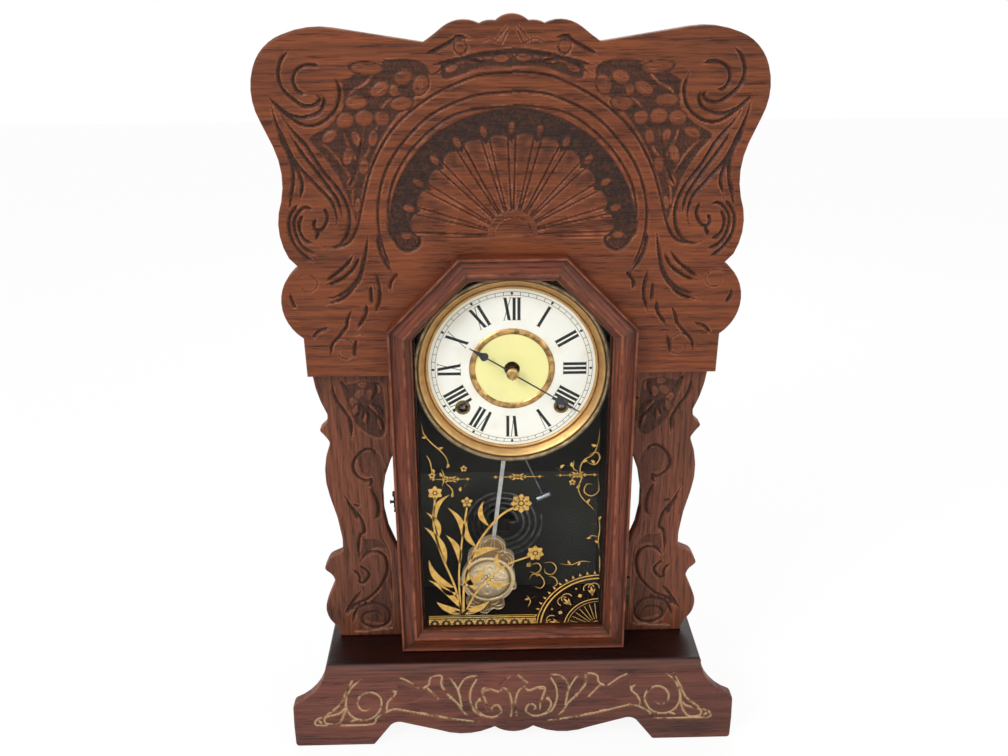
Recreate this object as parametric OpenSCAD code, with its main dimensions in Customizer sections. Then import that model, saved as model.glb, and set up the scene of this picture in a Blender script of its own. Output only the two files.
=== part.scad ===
// Gingerbread shelf clock: an oak case with a tall carved crest and side wings on a scrolled base,
// a six-sided moulded door with a glass tablet, and an eight-day spring movement that strikes a coil gong.
// The clock stands on z = 0 and faces -y; +x is to the right of someone who looks at the dial.

/* [Case] */
// Depth of the whole clock, from the front of the base board to the back
clock_d = 125; // [115:1:140]
// Width of the case across its sides
case_w = 184; // [182:1:186]
// Height of the case sides above the base
case_h = 356; // [350:1:366]
// Thickness of the case sides and top
case_t = 10; // [9:0.5:11]
// Thickness of the back board
back_t = 4; // [3:0.5:6]
// Width of the dial opening in the crest
opening_w = 164; // [160:1:166]
// Setback of the case front behind the front of the base board
case_setback = 30.9; // [30:0.1:34]

/* [Base] */
// Width of the top board of the base
plinth_w = 322; // [300:1:340]
// Thickness of the top board of the base
plinth_t = 9; // [7:0.5:12]
// Overall height of the base
base_h = 89.5; // [84:0.5:96]
// Overall width of the scrolled front apron
apron_w = 387; // [360:1:400]
// Thickness of the apron and of the side boards
apron_t = 10; // [8:0.5:12]
// Overhang of the base board in front of the apron
plinth_lip = 3.5; // [2:0.5:6]

/* [Crest and wings] */
// Overall width of the crest board
crest_w = 369; // [350:1:385]
// Height of the crest board
crest_h = 268.3; // [255:0.1:285]
// Thickness of the crest board
crest_t = 10; // [8:0.5:12]
// Height of the lower edge of the crest above the base
crest_rise = 252.5; // [246:0.5:258]
// Width of each wing at its widest
wing_w = 69.4; // [64:0.2:76]
// Height of each wing
wing_h = 272; // [266:1:280]
// Thickness of the wings
wing_t = 9.5; // [8:0.5:12]

/* [Door] */
// Width of the door
door_w = 192.6; // [190:0.2:194]
// Height of the door
door_h = 354; // [348:1:360]
// Depth of the door frame
door_t = 16; // [15:0.5:17]
// Width of the moulded frame members
frame_w = 20; // [18:0.5:22]
// Width of the short top edge of the door
door_top_w = 81.6; // [76:0.2:90]
// Drop from the top edge of the door to its upper side corners
door_shoulder = 60; // [55:1:65]
// Thickness of the glass
glass_t = 2; // [1.6:0.1:2.4]
// Radius of the hinge knuckles
knuckle_r = 2.2; // [2:0.1:2.6]
// Length of each hinge
hinge_h = 26; // [20:1:32]

/* [Dial and hands] */
// Height of the dial centre above the base
dial_rise = 253; // [250:0.5:256]
// Outer radius of the brass bezel
bezel_r = 75.5; // [74:0.1:76]
// Radius of the dial that shows inside the bezel
dial_r = 66; // [62:0.5:67]
// Depth of the dial face behind the front of the base board
dial_depth = 42.5; // [42:0.1:44]
// Outer radius of the brass ring in the middle of the dial
ring_r = 34.3; // [31:0.1:36]
// Width of the brass ring in the middle of the dial
ring_w = 4.8; // [3:0.1:6]
// Reach of the minute hand
minute_reach = 64; // [56:0.5:65]
// Reach of the hour hand
hour_reach = 40; // [34:0.5:46]
// Thickness of the hands
hand_t = 0.5; // [0.4:0.1:0.8]
// Direction of the minute hand, clockwise from twelve
minute_angle = 121.9; // [0:0.1:359]
// Direction of the hour hand, clockwise from twelve
hour_angle = 301.7; // [0:0.1:359]

/* [Movement] */
// Thickness of the movement plates
plate_t = 1.4; // [1.2:0.1:1.8]
// Space between the movement plates
plate_gap = 30.6; // [30.6:0.1:32]
// Distance of the front plate from the back of the clock
plate_depth = 58.5; // [57:0.1:60]
// Sideways distance of each winding arbor from the dial centre
wind_x = 40; // [39:0.1:41]
// Distance of the winding arbors below the dial centre
wind_drop = 33; // [32.5:0.1:34]
// Radius of the winding arbors
wind_r = 3; // [2.6:0.1:3.2]
// Radius of the wheel arbors
arbor_r = 1.2; // [1:0.1:1.4]
// Radius of the pivots in the plates
pivot_r = 0.7; // [0.6:0.05:0.8]
// Radial clearance of a pivot in its hole
pivot_gap = 0.05; // [0.03:0.01:0.08]
// Thickness of the train wheels
wheel_t = 1; // [0.8:0.1:1.2]
// Outer radius of the mainsprings
spring_r = 19.5; // [17:0.5:20]
// Thickness of the mainspring ribbon
spring_t = 0.45; // [0.4:0.05:0.6]

/* [Pendulum] */
// Length of the pendulum from its bending point to the middle of the bob
pendulum_l = 176; // [170:1:178]
// Angle of the pendulum from the vertical, towards the viewer's left
swing_angle = 6.8; // [0:0.1:7]
// Radius of the pendulum bob
bob_r = 24; // [20:0.5:26]
// Thickness of the pendulum bob
bob_t = 8; // [6:0.5:9]
// Radius of the pendulum rod
rod_r = 1; // [0.8:0.1:1.2]
// Distance of the bending point below the dial centre
hang_drop = 32.5; // [32:0.1:33]

/* [Gong] */
// Outer radius of the coil gong
gong_r = 36; // [32:0.5:38]
// Radius of the first turn of the coil gong
gong_inner = 14; // [12:0.5:15]
// Turns of the coil gong
gong_turns = 4; // [3:0.5:4.5]
// Radius of the gong wire
gong_wire = 1.3; // [1.1:0.1:1.5]
// Height of the gong centre above the base
gong_rise = 81; // [78:0.5:84]
// Length of the hammer head
hammer_l = 13; // [10:0.5:15]
// Radius of the hammer head
hammer_r = 2.6; // [2:0.1:3]

/* [Hidden] */

$fn = 48;
arc_step = 10;
seat_gap = 0.02;

// Planes from front to back
y_front = -clock_d / 2;
y_back = clock_d / 2;
y_apron = y_front + plinth_lip;
y_case = y_front + case_setback;
y_crest_back = y_case + crest_t;
door_gap = 0.4;
y_door_back = y_case - door_gap;
y_door = y_door_back - door_t;
y_dial = y_front + dial_depth;
y_plate = y_back - plate_depth;
y_inner = y_plate + plate_t;
y_back_plate = y_inner + plate_gap;
y_plate_back = y_back_plate + plate_t;
back_inset = 4.5;
y_board = y_back - back_inset - back_t;

// Heights
z_plinth = base_h - plinth_t;
z_case_top = base_h + case_h;
z_crest = base_h + crest_rise;
z_dial = base_h + dial_rise;
case_in = case_w / 2 - case_t;

// Shapes

// Point at the share t of the arc from p to q, which bulges to the left by b
function arc_point(p, q, b, t) =
    let (sweep = 4 * atan(b), k = sin(t * sweep / 2) / sin(sweep / 2), a = (1 - t) * sweep / 2, d = q - p)
    p + k * [d.x * cos(a) - d.y * sin(a), d.x * sin(a) + d.y * cos(a)];

// Points of a path whose corners are [x, z, bulge of the stretch to the next corner]
function path_points(v) = [
    for (i = [0 : len(v) - 2])
        let (p = [v[i].x, v[i].y], q = [v[i + 1].x, v[i + 1].y], b = v[i][2])
        let (n = b == 0 ? 1 : max(2, ceil(abs(4 * atan(b)) / arc_step)))
        for (k = [0 : n - 1]) b == 0 ? p : arc_point(p, q, b, k / n),
    [v[len(v) - 1].x, v[len(v) - 1].y]
];

// The same path with its places scaled, its arcs kept
function stretch(v, kx, kz) = [for (c = v) [c.x * kx, c.y * kz, c[2]]];

// A closed outline from the right half of it
function both_halves(p) = concat(p, [for (i = [len(p) - 1 : -1 : 0]) if (p[i].x > 0) [-p[i].x, p[i].y]]);

function polar(r, a) = [r * cos(a), r * sin(a)];

// A plate of the drawn outline in the front view, from y0 over the thickness t
module slab(y0, t) {
    translate([0, y0 + t, 0]) rotate([90, 0, 0]) linear_extrude(height = t) children();
}

module round_bar(x, z, y0, y1, r) {
    translate([x, y1, z]) rotate([90, 0, 0]) cylinder(h = y1 - y0, r = r);
}

// A turned piece round the axis at x, z, drawn as [radius, y]
module turned(x, z, n = 64) {
    translate([x, 0, z]) rotate([-90, 0, 0]) rotate_extrude($fn = n) children();
}

module bar(x0, x1, y0, y1, z0, z1) {
    translate([x0, y0, z0]) cube([x1 - x0, y1 - y0, z1 - z0]);
}

// A straight round wire between two points of one y plane
module wire(p, q, y, r) {
    d = q - p;
    translate([p.x, y, p.y]) rotate([0, atan2(d.x, d.y), 0]) cylinder(h = norm(d), r = r, $fn = 24);
}

// Base

module base_top_board() {
    nose = 2.5;
    color("#3a1410") intersection() {
        slab(y_front, clock_d) polygon(both_halves(path_points([
            [0, base_h, 0], [plinth_w / 2 - nose, base_h, 0.4], [plinth_w / 2, base_h - nose, 0],
            [plinth_w / 2, z_plinth, 0], [0, z_plinth, 0]])));
        translate([-plinth_w / 2, 0, 0]) rotate([90, 0, 90]) linear_extrude(height = plinth_w)
            polygon(path_points([[y_back, z_plinth, 0], [y_back, base_h, 0], [y_front + nose, base_h, -0.4],
                [y_front, base_h - nose, 0], [y_front, z_plinth, 0]]));
    }
}

// Right half of the apron, from the middle of its top edge round to the middle of its lower edge
apron_ref = [387, 80.5];
apron_half = [
    [0, 80.5, 0], [162.5, 80.5, -0.25], [190.3, 46.5, 0.2], [193, 41, 0.02], [193.5, 3, 0.3], [191, 0, 0],
    [124, 0, 0], [108.5, 21, -0.25], [99.5, 24, 0], [66, 14.2, 0.22], [20, 15.6, 0], [17, 17, 0.168],
    [0, 11.1, 0]
];
module base_apron() {
    color("#6b3524") slab(y_apron, apron_t)
        polygon(both_halves(path_points(stretch(apron_half, apron_w / apron_ref.x, z_plinth / apron_ref.y))));
}

side_inset = 1;
side_x = plinth_w / 2 - side_inset;
module base_side_boards() {
    foot = 26;
    arch = 18;
    y0 = y_apron + apron_t;
    for (s = [-1, 1])
        color("#5e2d1f") translate([s * (side_x - apron_t / 2) - apron_t / 2, 0, 0])
            rotate([90, 0, 90]) linear_extrude(height = apron_t)
                polygon(path_points([[y0, 0, 0], [y0 + foot, 0, -0.35], [y0 + foot + arch, arch, 0],
                    [y_back - foot - arch, arch, -0.35], [y_back - foot, 0, 0], [y_back, 0, 0],
                    [y_back, z_plinth, 0], [y0, z_plinth, 0]]));
}

// Three-cornered block in a corner of the base, or behind a board that stands on another
module corner_block(x, y, z, h, sx, sy, side) {
    translate([x, y, z]) linear_extrude(height = h) polygon([[0, 0], [sx * side, 0], [0, sy * side]]);
}
block = 12;
wing_foot = 12;
module glue_blocks() {
    color("#a07848") for (s = [-1, 1]) {
        corner_block(s * (side_x - apron_t), y_apron + apron_t, z_plinth - 40, 40, -s, 1, block);
        corner_block(s * (side_x - apron_t), y_back, z_plinth - 40, 40, -s, -1, block);
        corner_block(s * case_w / 2, y_crest_back + wing_t, base_h + wing_foot, 48, s, 1, block);
        corner_block(s * case_w / 2, y_crest_back + wing_t, z_crest - 52, 46, s, 1, block);
        translate([s * 55 - 20, y_crest_back, z_case_top + case_t]) rotate([90, 0, 90])
            linear_extrude(height = 40) polygon([[0, 0], [block, 0], [0, block]]);
    }
}

// Case

module case_side(s) {
    x0 = s > 0 ? case_w / 2 - case_t : -case_w / 2;
    color("#5e2d1f") difference() {
        translate([x0, 0, 0]) rotate([90, 0, 90]) linear_extrude(height = case_t)
            polygon([[y_case, base_h], [y_board + back_t, base_h], [y_board + back_t, z_case_top],
                [y_crest_back, z_case_top], [y_crest_back, z_crest], [y_case, z_crest]]);
        if (s > 0) for (z = hinge_zs)
            bar(leaf_x, case_w / 2 + 1, y_case - 1, y_case + leaf_t, z - hinge_h / 2, z + hinge_h / 2);
    }
}
module case_side_left() case_side(-1);
module case_side_right() case_side(1);

module case_top_board() {
    color("#5e2d1f")
        bar(-case_w / 2, case_w / 2, y_crest_back, y_board + back_t, z_case_top, z_case_top + case_t);
}

module back_board() {
    color("#6d4a30") bar(-case_in, case_in, y_board, y_board + back_t, base_h, z_case_top);
}

// Right half of the crest above its lower edge, from the top of the middle lobe down to the lower corner
crest_ref = [369, 268.3];
crest_half = [
    [0, 268.3, 0.187], [11.6, 263.8, 0.17], [23, 262, 0.28], [49, 259.4, -0.03], [62.3, 249.7, 0],
    [125, 259.4, 0.137], [160, 255.4, 0.23], [182, 233, 0.2], [180, 196.5, 0], [172.5, 179, -0.16],
    [170, 139, 0.22], [168, 96, 0], [161.6, 89.3, 0.524], [162, 32.1, 0], [161.5, 0, 0]
];
// Carving of the crest, which its outline's places are scaled with: the shell's middle above the lower edge,
// its radii, the arches round it, and the middle lines of the scrolls and leaves in the right half
carve_depth = 1.2;
groove_w = 3;
shell_rise = 112.5;
shell_hub_r = 19.5;
shell_r = 77;
shell_bed_r = 94;
shell_flutes = 12;
arch_rs = [104, 116];
crest_beds = [
    [[121, 224], [96, 237], [70, 239], [58, 232], [63, 218], [80, 201], [93, 184], [104, 163], [111, 142],
        [116, 122], [121, 140], [127, 156], [137, 172], [146, 185], [131, 195], [121, 207]],
    [[95, 128], [94, 114], [86, 104], [78, 101.5], [71, 105], [73, 112], [82, 112], [87, 122]]
];
crest_petals = [[119, 197, 5], [105.5, 198, 5], [92.5, 198, 4.6], [77, 209, 6], [65, 221, 5], [76, 227, 4.6],
    [110, 210, 5], [104, 229, 4.6], [90, 217, 4.4], [131, 186, 4.6], [118, 172, 4], [107.5, 165, 4]];
crest_grooves = [
    [[155, 246], [164, 229], [157, 214.5], [147, 209], [138, 212]],
    [[134, 234.5], [150, 232], [153, 220]],
    [[125.5, 229], [122.5, 213], [131, 199], [148, 194], [163, 202], [172.5, 214]],
    [[172, 212], [162.5, 182.5], [143, 152.5], [130.5, 126], [133, 117]],
    [[168, 207], [147.5, 180], [126.5, 148], [121, 124], [129, 106.5], [147, 111]],
    [[164, 180], [153, 152.5], [156, 138.5], [164.5, 127], [163, 108], [149, 94]],
    [[168.5, 199], [160, 172], [162, 141.5], [165.5, 130]],
    [[146, 134], [157, 132], [161.5, 120], [157, 105.5], [147, 99.5]],
    [[114, 99.5], [126.5, 81.5], [142, 75.5]],
    [[110, 105.5], [117, 79], [134.5, 65.5], [142, 65]],
    [[107.5, 116], [115, 80.5], [130, 63.5], [145, 59.5]],
    [[100, 116], [99, 98], [90.5, 84]],
    [[103.5, 85], [101, 62], [104.5, 51]],
    [[122.5, 57], [127.5, 41], [139.5, 26.5], [142, 16]],
    [[57, 227], [43.5, 236], [20, 241.5], [0, 243]],
    [[62, 241], [44, 250], [28, 252]]
];

// Places drawn from the middle of the crest's lower edge, in the front view; s is the side
function on_crest(v, s = 1) =
    [for (c = v) [s * c.x * crest_w / crest_ref.x, z_crest + c.y * crest_h / crest_ref.y]];

// Part of a circle round the middle of the shell
function shell_arc(r, a0, a1, step = 7.5) =
    [for (a = [a0 : (a1 > a0 ? step : -step) : a1]) [0, shell_rise] + polar(r, a)];

// A band of width w along some points
function ribbon(v, w) =
    let (n = len(v), side = [for (i = [0 : n - 1])
        let (d = v[min(i + 1, n - 1)] - v[max(i - 1, 0)]) [-d.y, d.x] / norm(d) * w / 2])
    concat([for (i = [0 : n - 1]) v[i] + side[i]], [for (i = [n - 1 : -1 : 0]) v[i] - side[i]]);

// The upper half of a ring round the middle of the shell
module half_ring(r0, r1) {
    polygon(on_crest(concat(shell_arc(r1, 0, 180), shell_arc(r0, 180, 0))));
}

// What the carving takes off the crest
module crest_carving() {
    half_ring(shell_r, shell_bed_r);
    half_ring(shell_hub_r - 0.6, shell_hub_r + 0.9);
    for (r = arch_rs) half_ring(r - groove_w / 2, r + groove_w / 2);
    for (k = [0 : shell_flutes]) let (a = 180 * k / shell_flutes, w = k % shell_flutes == 0 ? 0.4 : 1)
        polygon(on_crest([for (c = [[shell_hub_r, -0.5], [shell_r + 1, -2], [shell_r + 1, 2], [shell_hub_r, 0.5]])
            [0, shell_rise] + c.x * polar(1, a) + c.y * w * polar(1, a + 90)]));
    for (s = [-1, 1]) {
        difference() {
            for (b = crest_beds) polygon(on_crest(b, s));
            for (p = crest_petals) polygon(on_crest([for (a = [0 : 36 : 324]) [p.x, p.y] + polar(p[2], a)], s));
        }
        for (g = crest_grooves) polygon(on_crest(ribbon(g, groove_w), s));
    }
}

// The opening follows the door, a little inside its edge
opening_inset = door_w / 2 - opening_w / 2;
module crest_board() {
    outer = path_points(stretch(crest_half, crest_w / crest_ref.x, crest_h / crest_ref.y));
    hole = door_ring(opening_inset);
    color("#6e3424") difference() {
        slab(y_case, crest_t) difference() {
            translate([0, z_crest]) polygon(both_halves(outer));
            polygon(concat([[-opening_w / 2, z_crest - 1]], [for (i = [2 : 5]) hole[i]],
                [[opening_w / 2, z_crest - 1]]));
        }
        slab(y_case - 1, 1 + carve_depth) crest_carving();
    }
}

// Outline of a wing from the case side outwards: top, outer edge down to the foot, and the open curve
// of its inner edge
wing_ref = [69.4, 272];
wing_path = [
    [0, 272, 0], [66, 272, 0], [65.5, 250.5, 0.09], [55.9, 215.5, 0], [62.3, 201.3, 0], [55.3, 190.4, 0.167],
    [59, 140.2, -0.05], [51.1, 99.4, 0], [51.4, 86.5, 0], [62.1, 81.5, 0.2], [66.9, 69, 0], [59.8, 57.2, 0],
    [67.6, 38.6, 0.32], [62.5, 11.5, 0], [59.5, 5.5, 0], [59, 0, 0], [0, 0, 0],
    [0, 77.5, -0.306], [0, 189.5, 0]
];
module wing(s) {
    outline = path_points(stretch(wing_path, wing_w / wing_ref.x, wing_h / wing_ref.y));
    color("#6e3424") slab(y_crest_back, wing_t)
        translate([s * case_w / 2, base_h]) scale([s, 1]) polygon(outline);
}
module wing_left() wing(-1);
module wing_right() wing(1);

// Battens on the back board that carry the movement, and blocks on the case sides that carry the dial
batten_x = 50;
batten_w = 14;
batten_top = 50;
batten_foot = 70;
dial_block_w = 14;
dial_block_h = 40;
y_bezel_back = y_dial + 4;
block_x = case_in - dial_block_w / 2;
module mounting_blocks() {
    color("#b08a58") for (s = [-1, 1]) difference() {
        union() {
            bar(s * batten_x - batten_w / 2, s * batten_x + batten_w / 2, y_plate_back, y_board,
                z_dial - batten_foot, z_dial + batten_top);
            bar(s * block_x - dial_block_w / 2, s * block_x + dial_block_w / 2, y_bezel_back,
                y_bezel_back + dial_block_w, z_dial - dial_block_h / 2, z_dial + dial_block_h / 2);
        }
        for (p = plate_screw_ps) bore_at(p, screw_r + seat_gap);
    }
}

// Door

door_foot = 0.7;
door_z0 = base_h + door_foot;
door_z1 = door_z0 + door_h;
shoulder_run = door_w / 2 - door_top_w / 2;
shoulder_l = norm([shoulder_run, door_shoulder]);
shoulder_n = [door_shoulder, shoulder_run] / shoulder_l;
shoulder_c = shoulder_n * [door_w / 2, door_z1 - door_shoulder];

// Corners of the door outline drawn in by d, from the lower left one clockwise
function door_ring(d) =
    let (x = door_w / 2 - d, top = door_z1 - d, c = shoulder_c - d)
    let (zs = (c - shoulder_n.x * x) / shoulder_n.y, xt = (c - shoulder_n.y * top) / shoulder_n.x)
    [[x, door_z0 + d], [-x, door_z0 + d], [-x, zs], [-xt, top], [xt, top], [x, zs]];

// Section of the moulding: distance from the outer edge, depth behind the front of the door
glass_lap = 4;
glass_depth = 10;
moulding = [
    [0, door_t, 0], [0, 2.6, -0.4], [1.6, 1.2, 0], [2.8, 1.2, 0], [3.4, 2.4, 0.12], [9.6, 3.4, 0],
    [10.4, 2.4, -0.62], [10.4 + 4.4, 2.4, 0], [15.4, 3.2, 0], [frame_w, 7, 0], [frame_w, glass_depth, 0],
    [frame_w - glass_lap, glass_depth, 0], [frame_w - glass_lap, door_t, 0]
];

// A door member along the edge from ring corner i to i + 1, cut to its mitres
module door_member(i) {
    outer = door_ring(0);
    inner = door_ring(frame_w);
    j = (i + 1) % 6;
    a = outer[i];
    b = outer[j];
    d = b - a;
    spare = 30;
    intersection() {
        translate([a.x, y_door, a.y]) rotate([0, -atan2(d.y, d.x), 0]) translate([-spare, 0, 0])
            rotate([90, 0, 90]) linear_extrude(height = norm(d) + 2 * spare)
                polygon([for (p = path_points(moulding)) [p.y, -p.x]]);
        slab(y_door - 1, door_t + 2) polygon([outer[i], outer[j], inner[j], inner[i]]);
    }
}
door_colour = "#5a2a1c";
module door_bottom_rail() color(door_colour) door_member(0);
module door_stile_left() color(door_colour) door_member(1);
module door_stile_right() {
    color(door_colour) difference() {
        door_member(5);
        for (z = hinge_zs) bar(door_leaf_x, door_w / 2 + 1, y_door_back - leaf_t, y_door_back + 1,
            z - knuckle_h / 2 - seat_gap, z + knuckle_h / 2 + seat_gap);
    }
}
module door_top_rail() color(door_colour) door_member(3);
module door_shoulder_rails() {
    color(door_colour) door_member(2);
    color(door_colour) door_member(4);
}

glass_edge = 0.3;
y_glass = y_door + glass_depth;
module door_glass() {
    color("#9fb0a8") slab(y_glass, glass_t) polygon(door_ring(frame_w - glass_lap + glass_edge));
}

// Mitred strips behind the glass that hold it in the frame
bead_w = 3.6;
bead_back = 0.4;
module glass_beads() {
    edge = frame_w - glass_lap + glass_edge;
    a = door_ring(edge);
    b = door_ring(edge + bead_w);
    color("#4a2216") for (i = [0 : 5]) let (j = (i + 1) % 6)
        slab(y_glass + glass_t, y_door_back - bead_back - y_glass - glass_t)
            polygon([a[i], a[j], b[j], b[i]]);
}

// Hinges on the right edge, and the hook on the left
hinge_gap = 0.3;
side_edge = max(door_w, case_w) / 2;
hinge_x = side_edge + hinge_gap + knuckle_r;
hinge_y = y_door_back + door_gap / 2;
hinge_pin_r = 0.9;
hinge_fit = 0.06;
leaf_t = 0.8;
leaf_x = case_w / 2 - 7;
door_leaf_x = door_w / 2 - 11.3;
hinge_zs = [base_h + 50, z_crest - 34];
knuckle_h = hinge_h / 3;
module hinge_case_leaves() {
    color("#8a6a38") for (z = hinge_zs) {
        difference() {
            union() {
                bar(leaf_x, hinge_x, y_case, y_case + leaf_t, z - hinge_h / 2, z + hinge_h / 2);
                for (k = [-1, 1])
                    translate([hinge_x, hinge_y, z + k * knuckle_h - knuckle_h / 2])
                        cylinder(h = knuckle_h, r = knuckle_r);
            }
            translate([hinge_x, hinge_y, z - knuckle_h / 2 - hinge_gap])
                cylinder(h = knuckle_h + 2 * hinge_gap, r = knuckle_r + hinge_gap);
        }
        translate([hinge_x, hinge_y, z - hinge_h / 2]) cylinder(h = hinge_h, r = hinge_pin_r, $fn = 24);
    }
}
module hinge_door_leaves() {
    color("#8a6a38") for (z = hinge_zs) difference() {
        union() {
            bar(door_leaf_x, hinge_x, y_door_back - leaf_t, y_door_back, z - knuckle_h / 2, z + knuckle_h / 2);
            translate([hinge_x, hinge_y, z - knuckle_h / 2]) cylinder(h = knuckle_h, r = knuckle_r);
        }
        translate([hinge_x, hinge_y, z - knuckle_h])
            cylinder(h = 2 * knuckle_h, r = hinge_pin_r + hinge_fit, $fn = 24);
    }
}

hook_x = -side_edge - 2.2;
hook_t = 1.2;
hook_y = y_case + 5;
hook_z = base_h + 145;
hook_reach = 13.2;
hook_pin_r = 1.1;
hook_bore = 1.2;

// The hook hangs open; it swings forward and up to take the catch pin in its notch
module hook_screw() {
    inner = -case_w / 2 - hook_x - hook_t / 2 - hinge_fit;
    outer = inner + hook_t + 2 * hinge_fit;
    head_r = 2.4;
    color("#3c3a38") translate([-case_w / 2, hook_y, hook_z]) rotate([0, -90, 0]) rotate_extrude($fn = 32)
        polygon([[0, 0], [head_r, 0], [head_r, inner], [hook_bore, inner], [hook_bore, outer],
            [head_r, outer], [head_r - 0.4, outer + 0.8], [0, outer + 0.8]]);
}
module door_hook() {
    notch = hook_pin_r + 0.25;
    ring = hook_bore + 1.4;
    jaw = notch + 2.05;
    color("#b08a48") translate([hook_x - hook_t / 2, hook_y, hook_z]) rotate([90, 0, 90])
        linear_extrude(height = hook_t) difference() {
            union() {
                circle(r = ring, $fn = 32);
                translate([-ring / 2, -hook_reach]) square([ring, hook_reach]);
                translate([0, -hook_reach]) circle(r = jaw, $fn = 32);
            }
            circle(r = hook_bore + hinge_fit, $fn = 32);
            translate([0, -hook_reach]) circle(r = notch, $fn = 32);
            polygon([[-jaw - 1, -hook_reach - notch], [0, -hook_reach - notch],
                [0, -hook_reach + notch], [-jaw - 1, -hook_reach + notch + 0.9]]);
        }
}
module door_catch_pin() {
    neck = -hook_x - door_w / 2 + 1.6;
    color("#b08a48") translate([-door_w / 2, hook_y - hook_reach, hook_z]) rotate([0, -90, 0])
        rotate_extrude($fn = 32) polygon([[0, 0], [2.4, 0], [2.4, 0.7], [hook_pin_r, 0.7],
            [hook_pin_r, neck], [1.7, neck], [1.4, neck + 0.7], [0, neck + 0.7]]);
}

// Dial

dial_plate_t = 0.8;
dial_edge = 2.5;
dial_hole = 6.3;
wind_hole = 5.5;
grommet_r = 6.2;
wind_z = z_dial - wind_drop;
module dial_plate() {
    color("#fffdf2") difference() {
        round_bar(0, z_dial, y_dial, y_dial + dial_plate_t, bezel_r - dial_edge, $fn = 96);
        round_bar(0, z_dial, y_dial - 1, y_dial + 2, dial_hole);
        for (s = [-1, 1]) round_bar(s * wind_x, wind_z, y_dial - 1, y_dial + 2, wind_hole);
    }
}

bezel_depth = 7;
module dial_bezel() {
    flange = 3.5;
    rim = 3;
    y0 = y_dial - bezel_depth;
    color("#c09a5c") turned(0, z_dial, 96) polygon(path_points([
        [bezel_r + flange, y_bezel_back, 0], [bezel_r + flange, y_bezel_back - 0.8, 0],
        [bezel_r, y_bezel_back - 0.8, 0], [bezel_r, y0, 0.5], [bezel_r - rim, y0 - 0.5, 0.12],
        [dial_r, y_dial - 1, 0], [dial_r, y_dial, 0], [bezel_r - dial_edge + seat_gap, y_dial, 0],
        [bezel_r - dial_edge + seat_gap, y_bezel_back, 0]]));
}

module dial_ring() {
    color("#c8a468") turned(0, z_dial, 96) polygon(path_points([
        [ring_r - ring_w, y_dial, 0], [ring_r - ring_w, y_dial - 0.4, -0.35],
        [ring_r, y_dial - 0.4, 0], [ring_r, y_dial, 0]]));
}

module winding_grommets() {
    lip = 0.6;
    bore = wind_r + 1.2;
    color("#c09a5c") for (s = [-1, 1]) turned(s * wind_x, wind_z, 48)
        polygon([[bore, y_dial - lip], [grommet_r, y_dial - lip / 2], [grommet_r, y_dial],
            [wind_hole - seat_gap, y_dial], [wind_hole - seat_gap, y_dial + dial_plate_t],
            [bore, y_dial + dial_plate_t]]);
}

// Hands

centre_r = 1.6;
pipe_fit = 0.08;
pipe_r = 3.2;
y_hour = y_dial - 8.6;
y_minute = y_dial - 11.2;
hand_swell = 3.6;

// Right half of a hand that points up: a stem, a swell and a long point
function hand_half(reach, swell) = [
    [0, reach, 0], [0.3, reach - 0.4, -0.03], [1.1, swell + 6.5, -0.12], [hand_swell, swell, 0.42],
    [0.5, swell - hand_swell, 0], [0.6, 0, 0], [0, 0, 0]
];
module hand(y, reach, swell, boss, bore, angle) {
    color("#2b2b2e") difference() {
        union() {
            translate([0, 0, z_dial]) rotate([0, angle, 0])
                slab(y, hand_t) polygon(both_halves(path_points(hand_half(reach, swell))));
            round_bar(0, z_dial, y, y + hand_t, boss);
        }
        round_bar(0, z_dial, y - 1, y + 2, bore);
    }
}
module minute_hand() hand(y_minute, minute_reach, minute_reach * 0.7, 3.4, centre_r + seat_gap, minute_angle);
module hour_hand() hand(y_hour, hour_reach, hour_reach * 0.66, 4.6, pipe_r - 0.8 + seat_gap, hour_angle);

// Brass nut in front of the minute hand, with the pin that holds it
nut_t = 1.8;
module hand_nut() {
    nut_r = 4.8;
    color("#b08f55") difference() {
        union() {
            turned(0, z_dial, 48) polygon([[centre_r + seat_gap, y_minute], [nut_r, y_minute],
                [nut_r, y_minute - 0.9], [3, y_minute - nut_t], [centre_r + seat_gap, y_minute - nut_t]]);
            bar(-0.35, 0.35, y_minute - nut_t, y_minute - 1.1, z_dial - nut_r - 0.6, z_dial - centre_r);
        }
        round_bar(0, z_dial, y_minute - 4, y_minute + 1, centre_r + seat_gap);
    }
}

// Trains

// Numbers of teeth, and modules in millimetres
great_n = 70;
second_n = 42;
second_pinion_n = 12;
centre_pinion_n = 14;
// Winding arbor, second arbor and centre stand nearly in line, so the train reaches a little further
train_fold = 0.988855;
great_m = 2 * norm([wind_x, wind_drop]) / train_fold / (great_n + second_pinion_n + second_n + centre_pinion_n);
centre_n = 80;
centre_m = 0.45;
third_n = 80;
third_m = 0.42;
fast_pinion_n = 8;
escape_n = 42;
escape_r = 12;
strike_second_n = 60;
strike_m = 0.55;
pin_pinion_n = 12;
pin_wheel_n = 56;
warning_n = 49;
fly_m = 0.5;
fly_pinion_n = 7;
count_n = 90;
count_pinion_n = 20;
count_m = 0.45;
cannon_n = 12;
minute_n = 36;
minute_pinion_n = 10;
hour_n = 40;
motion_m = 0.45;
motion_l = motion_m * (cannon_n + minute_n) / 2;
hour_m = 2 * motion_l / (minute_pinion_n + hour_n);

// One of the two places at the distances rp from p and rq from q
function meet(p, rp, q, rq, side) =
    let (d = q - p, l = norm(d), a = (rp * rp - rq * rq + l * l) / (2 * l), h = sqrt(rp * rp - a * a), u = d / l)
    p + a * u + side * h * [-u.y, u.x];

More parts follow.
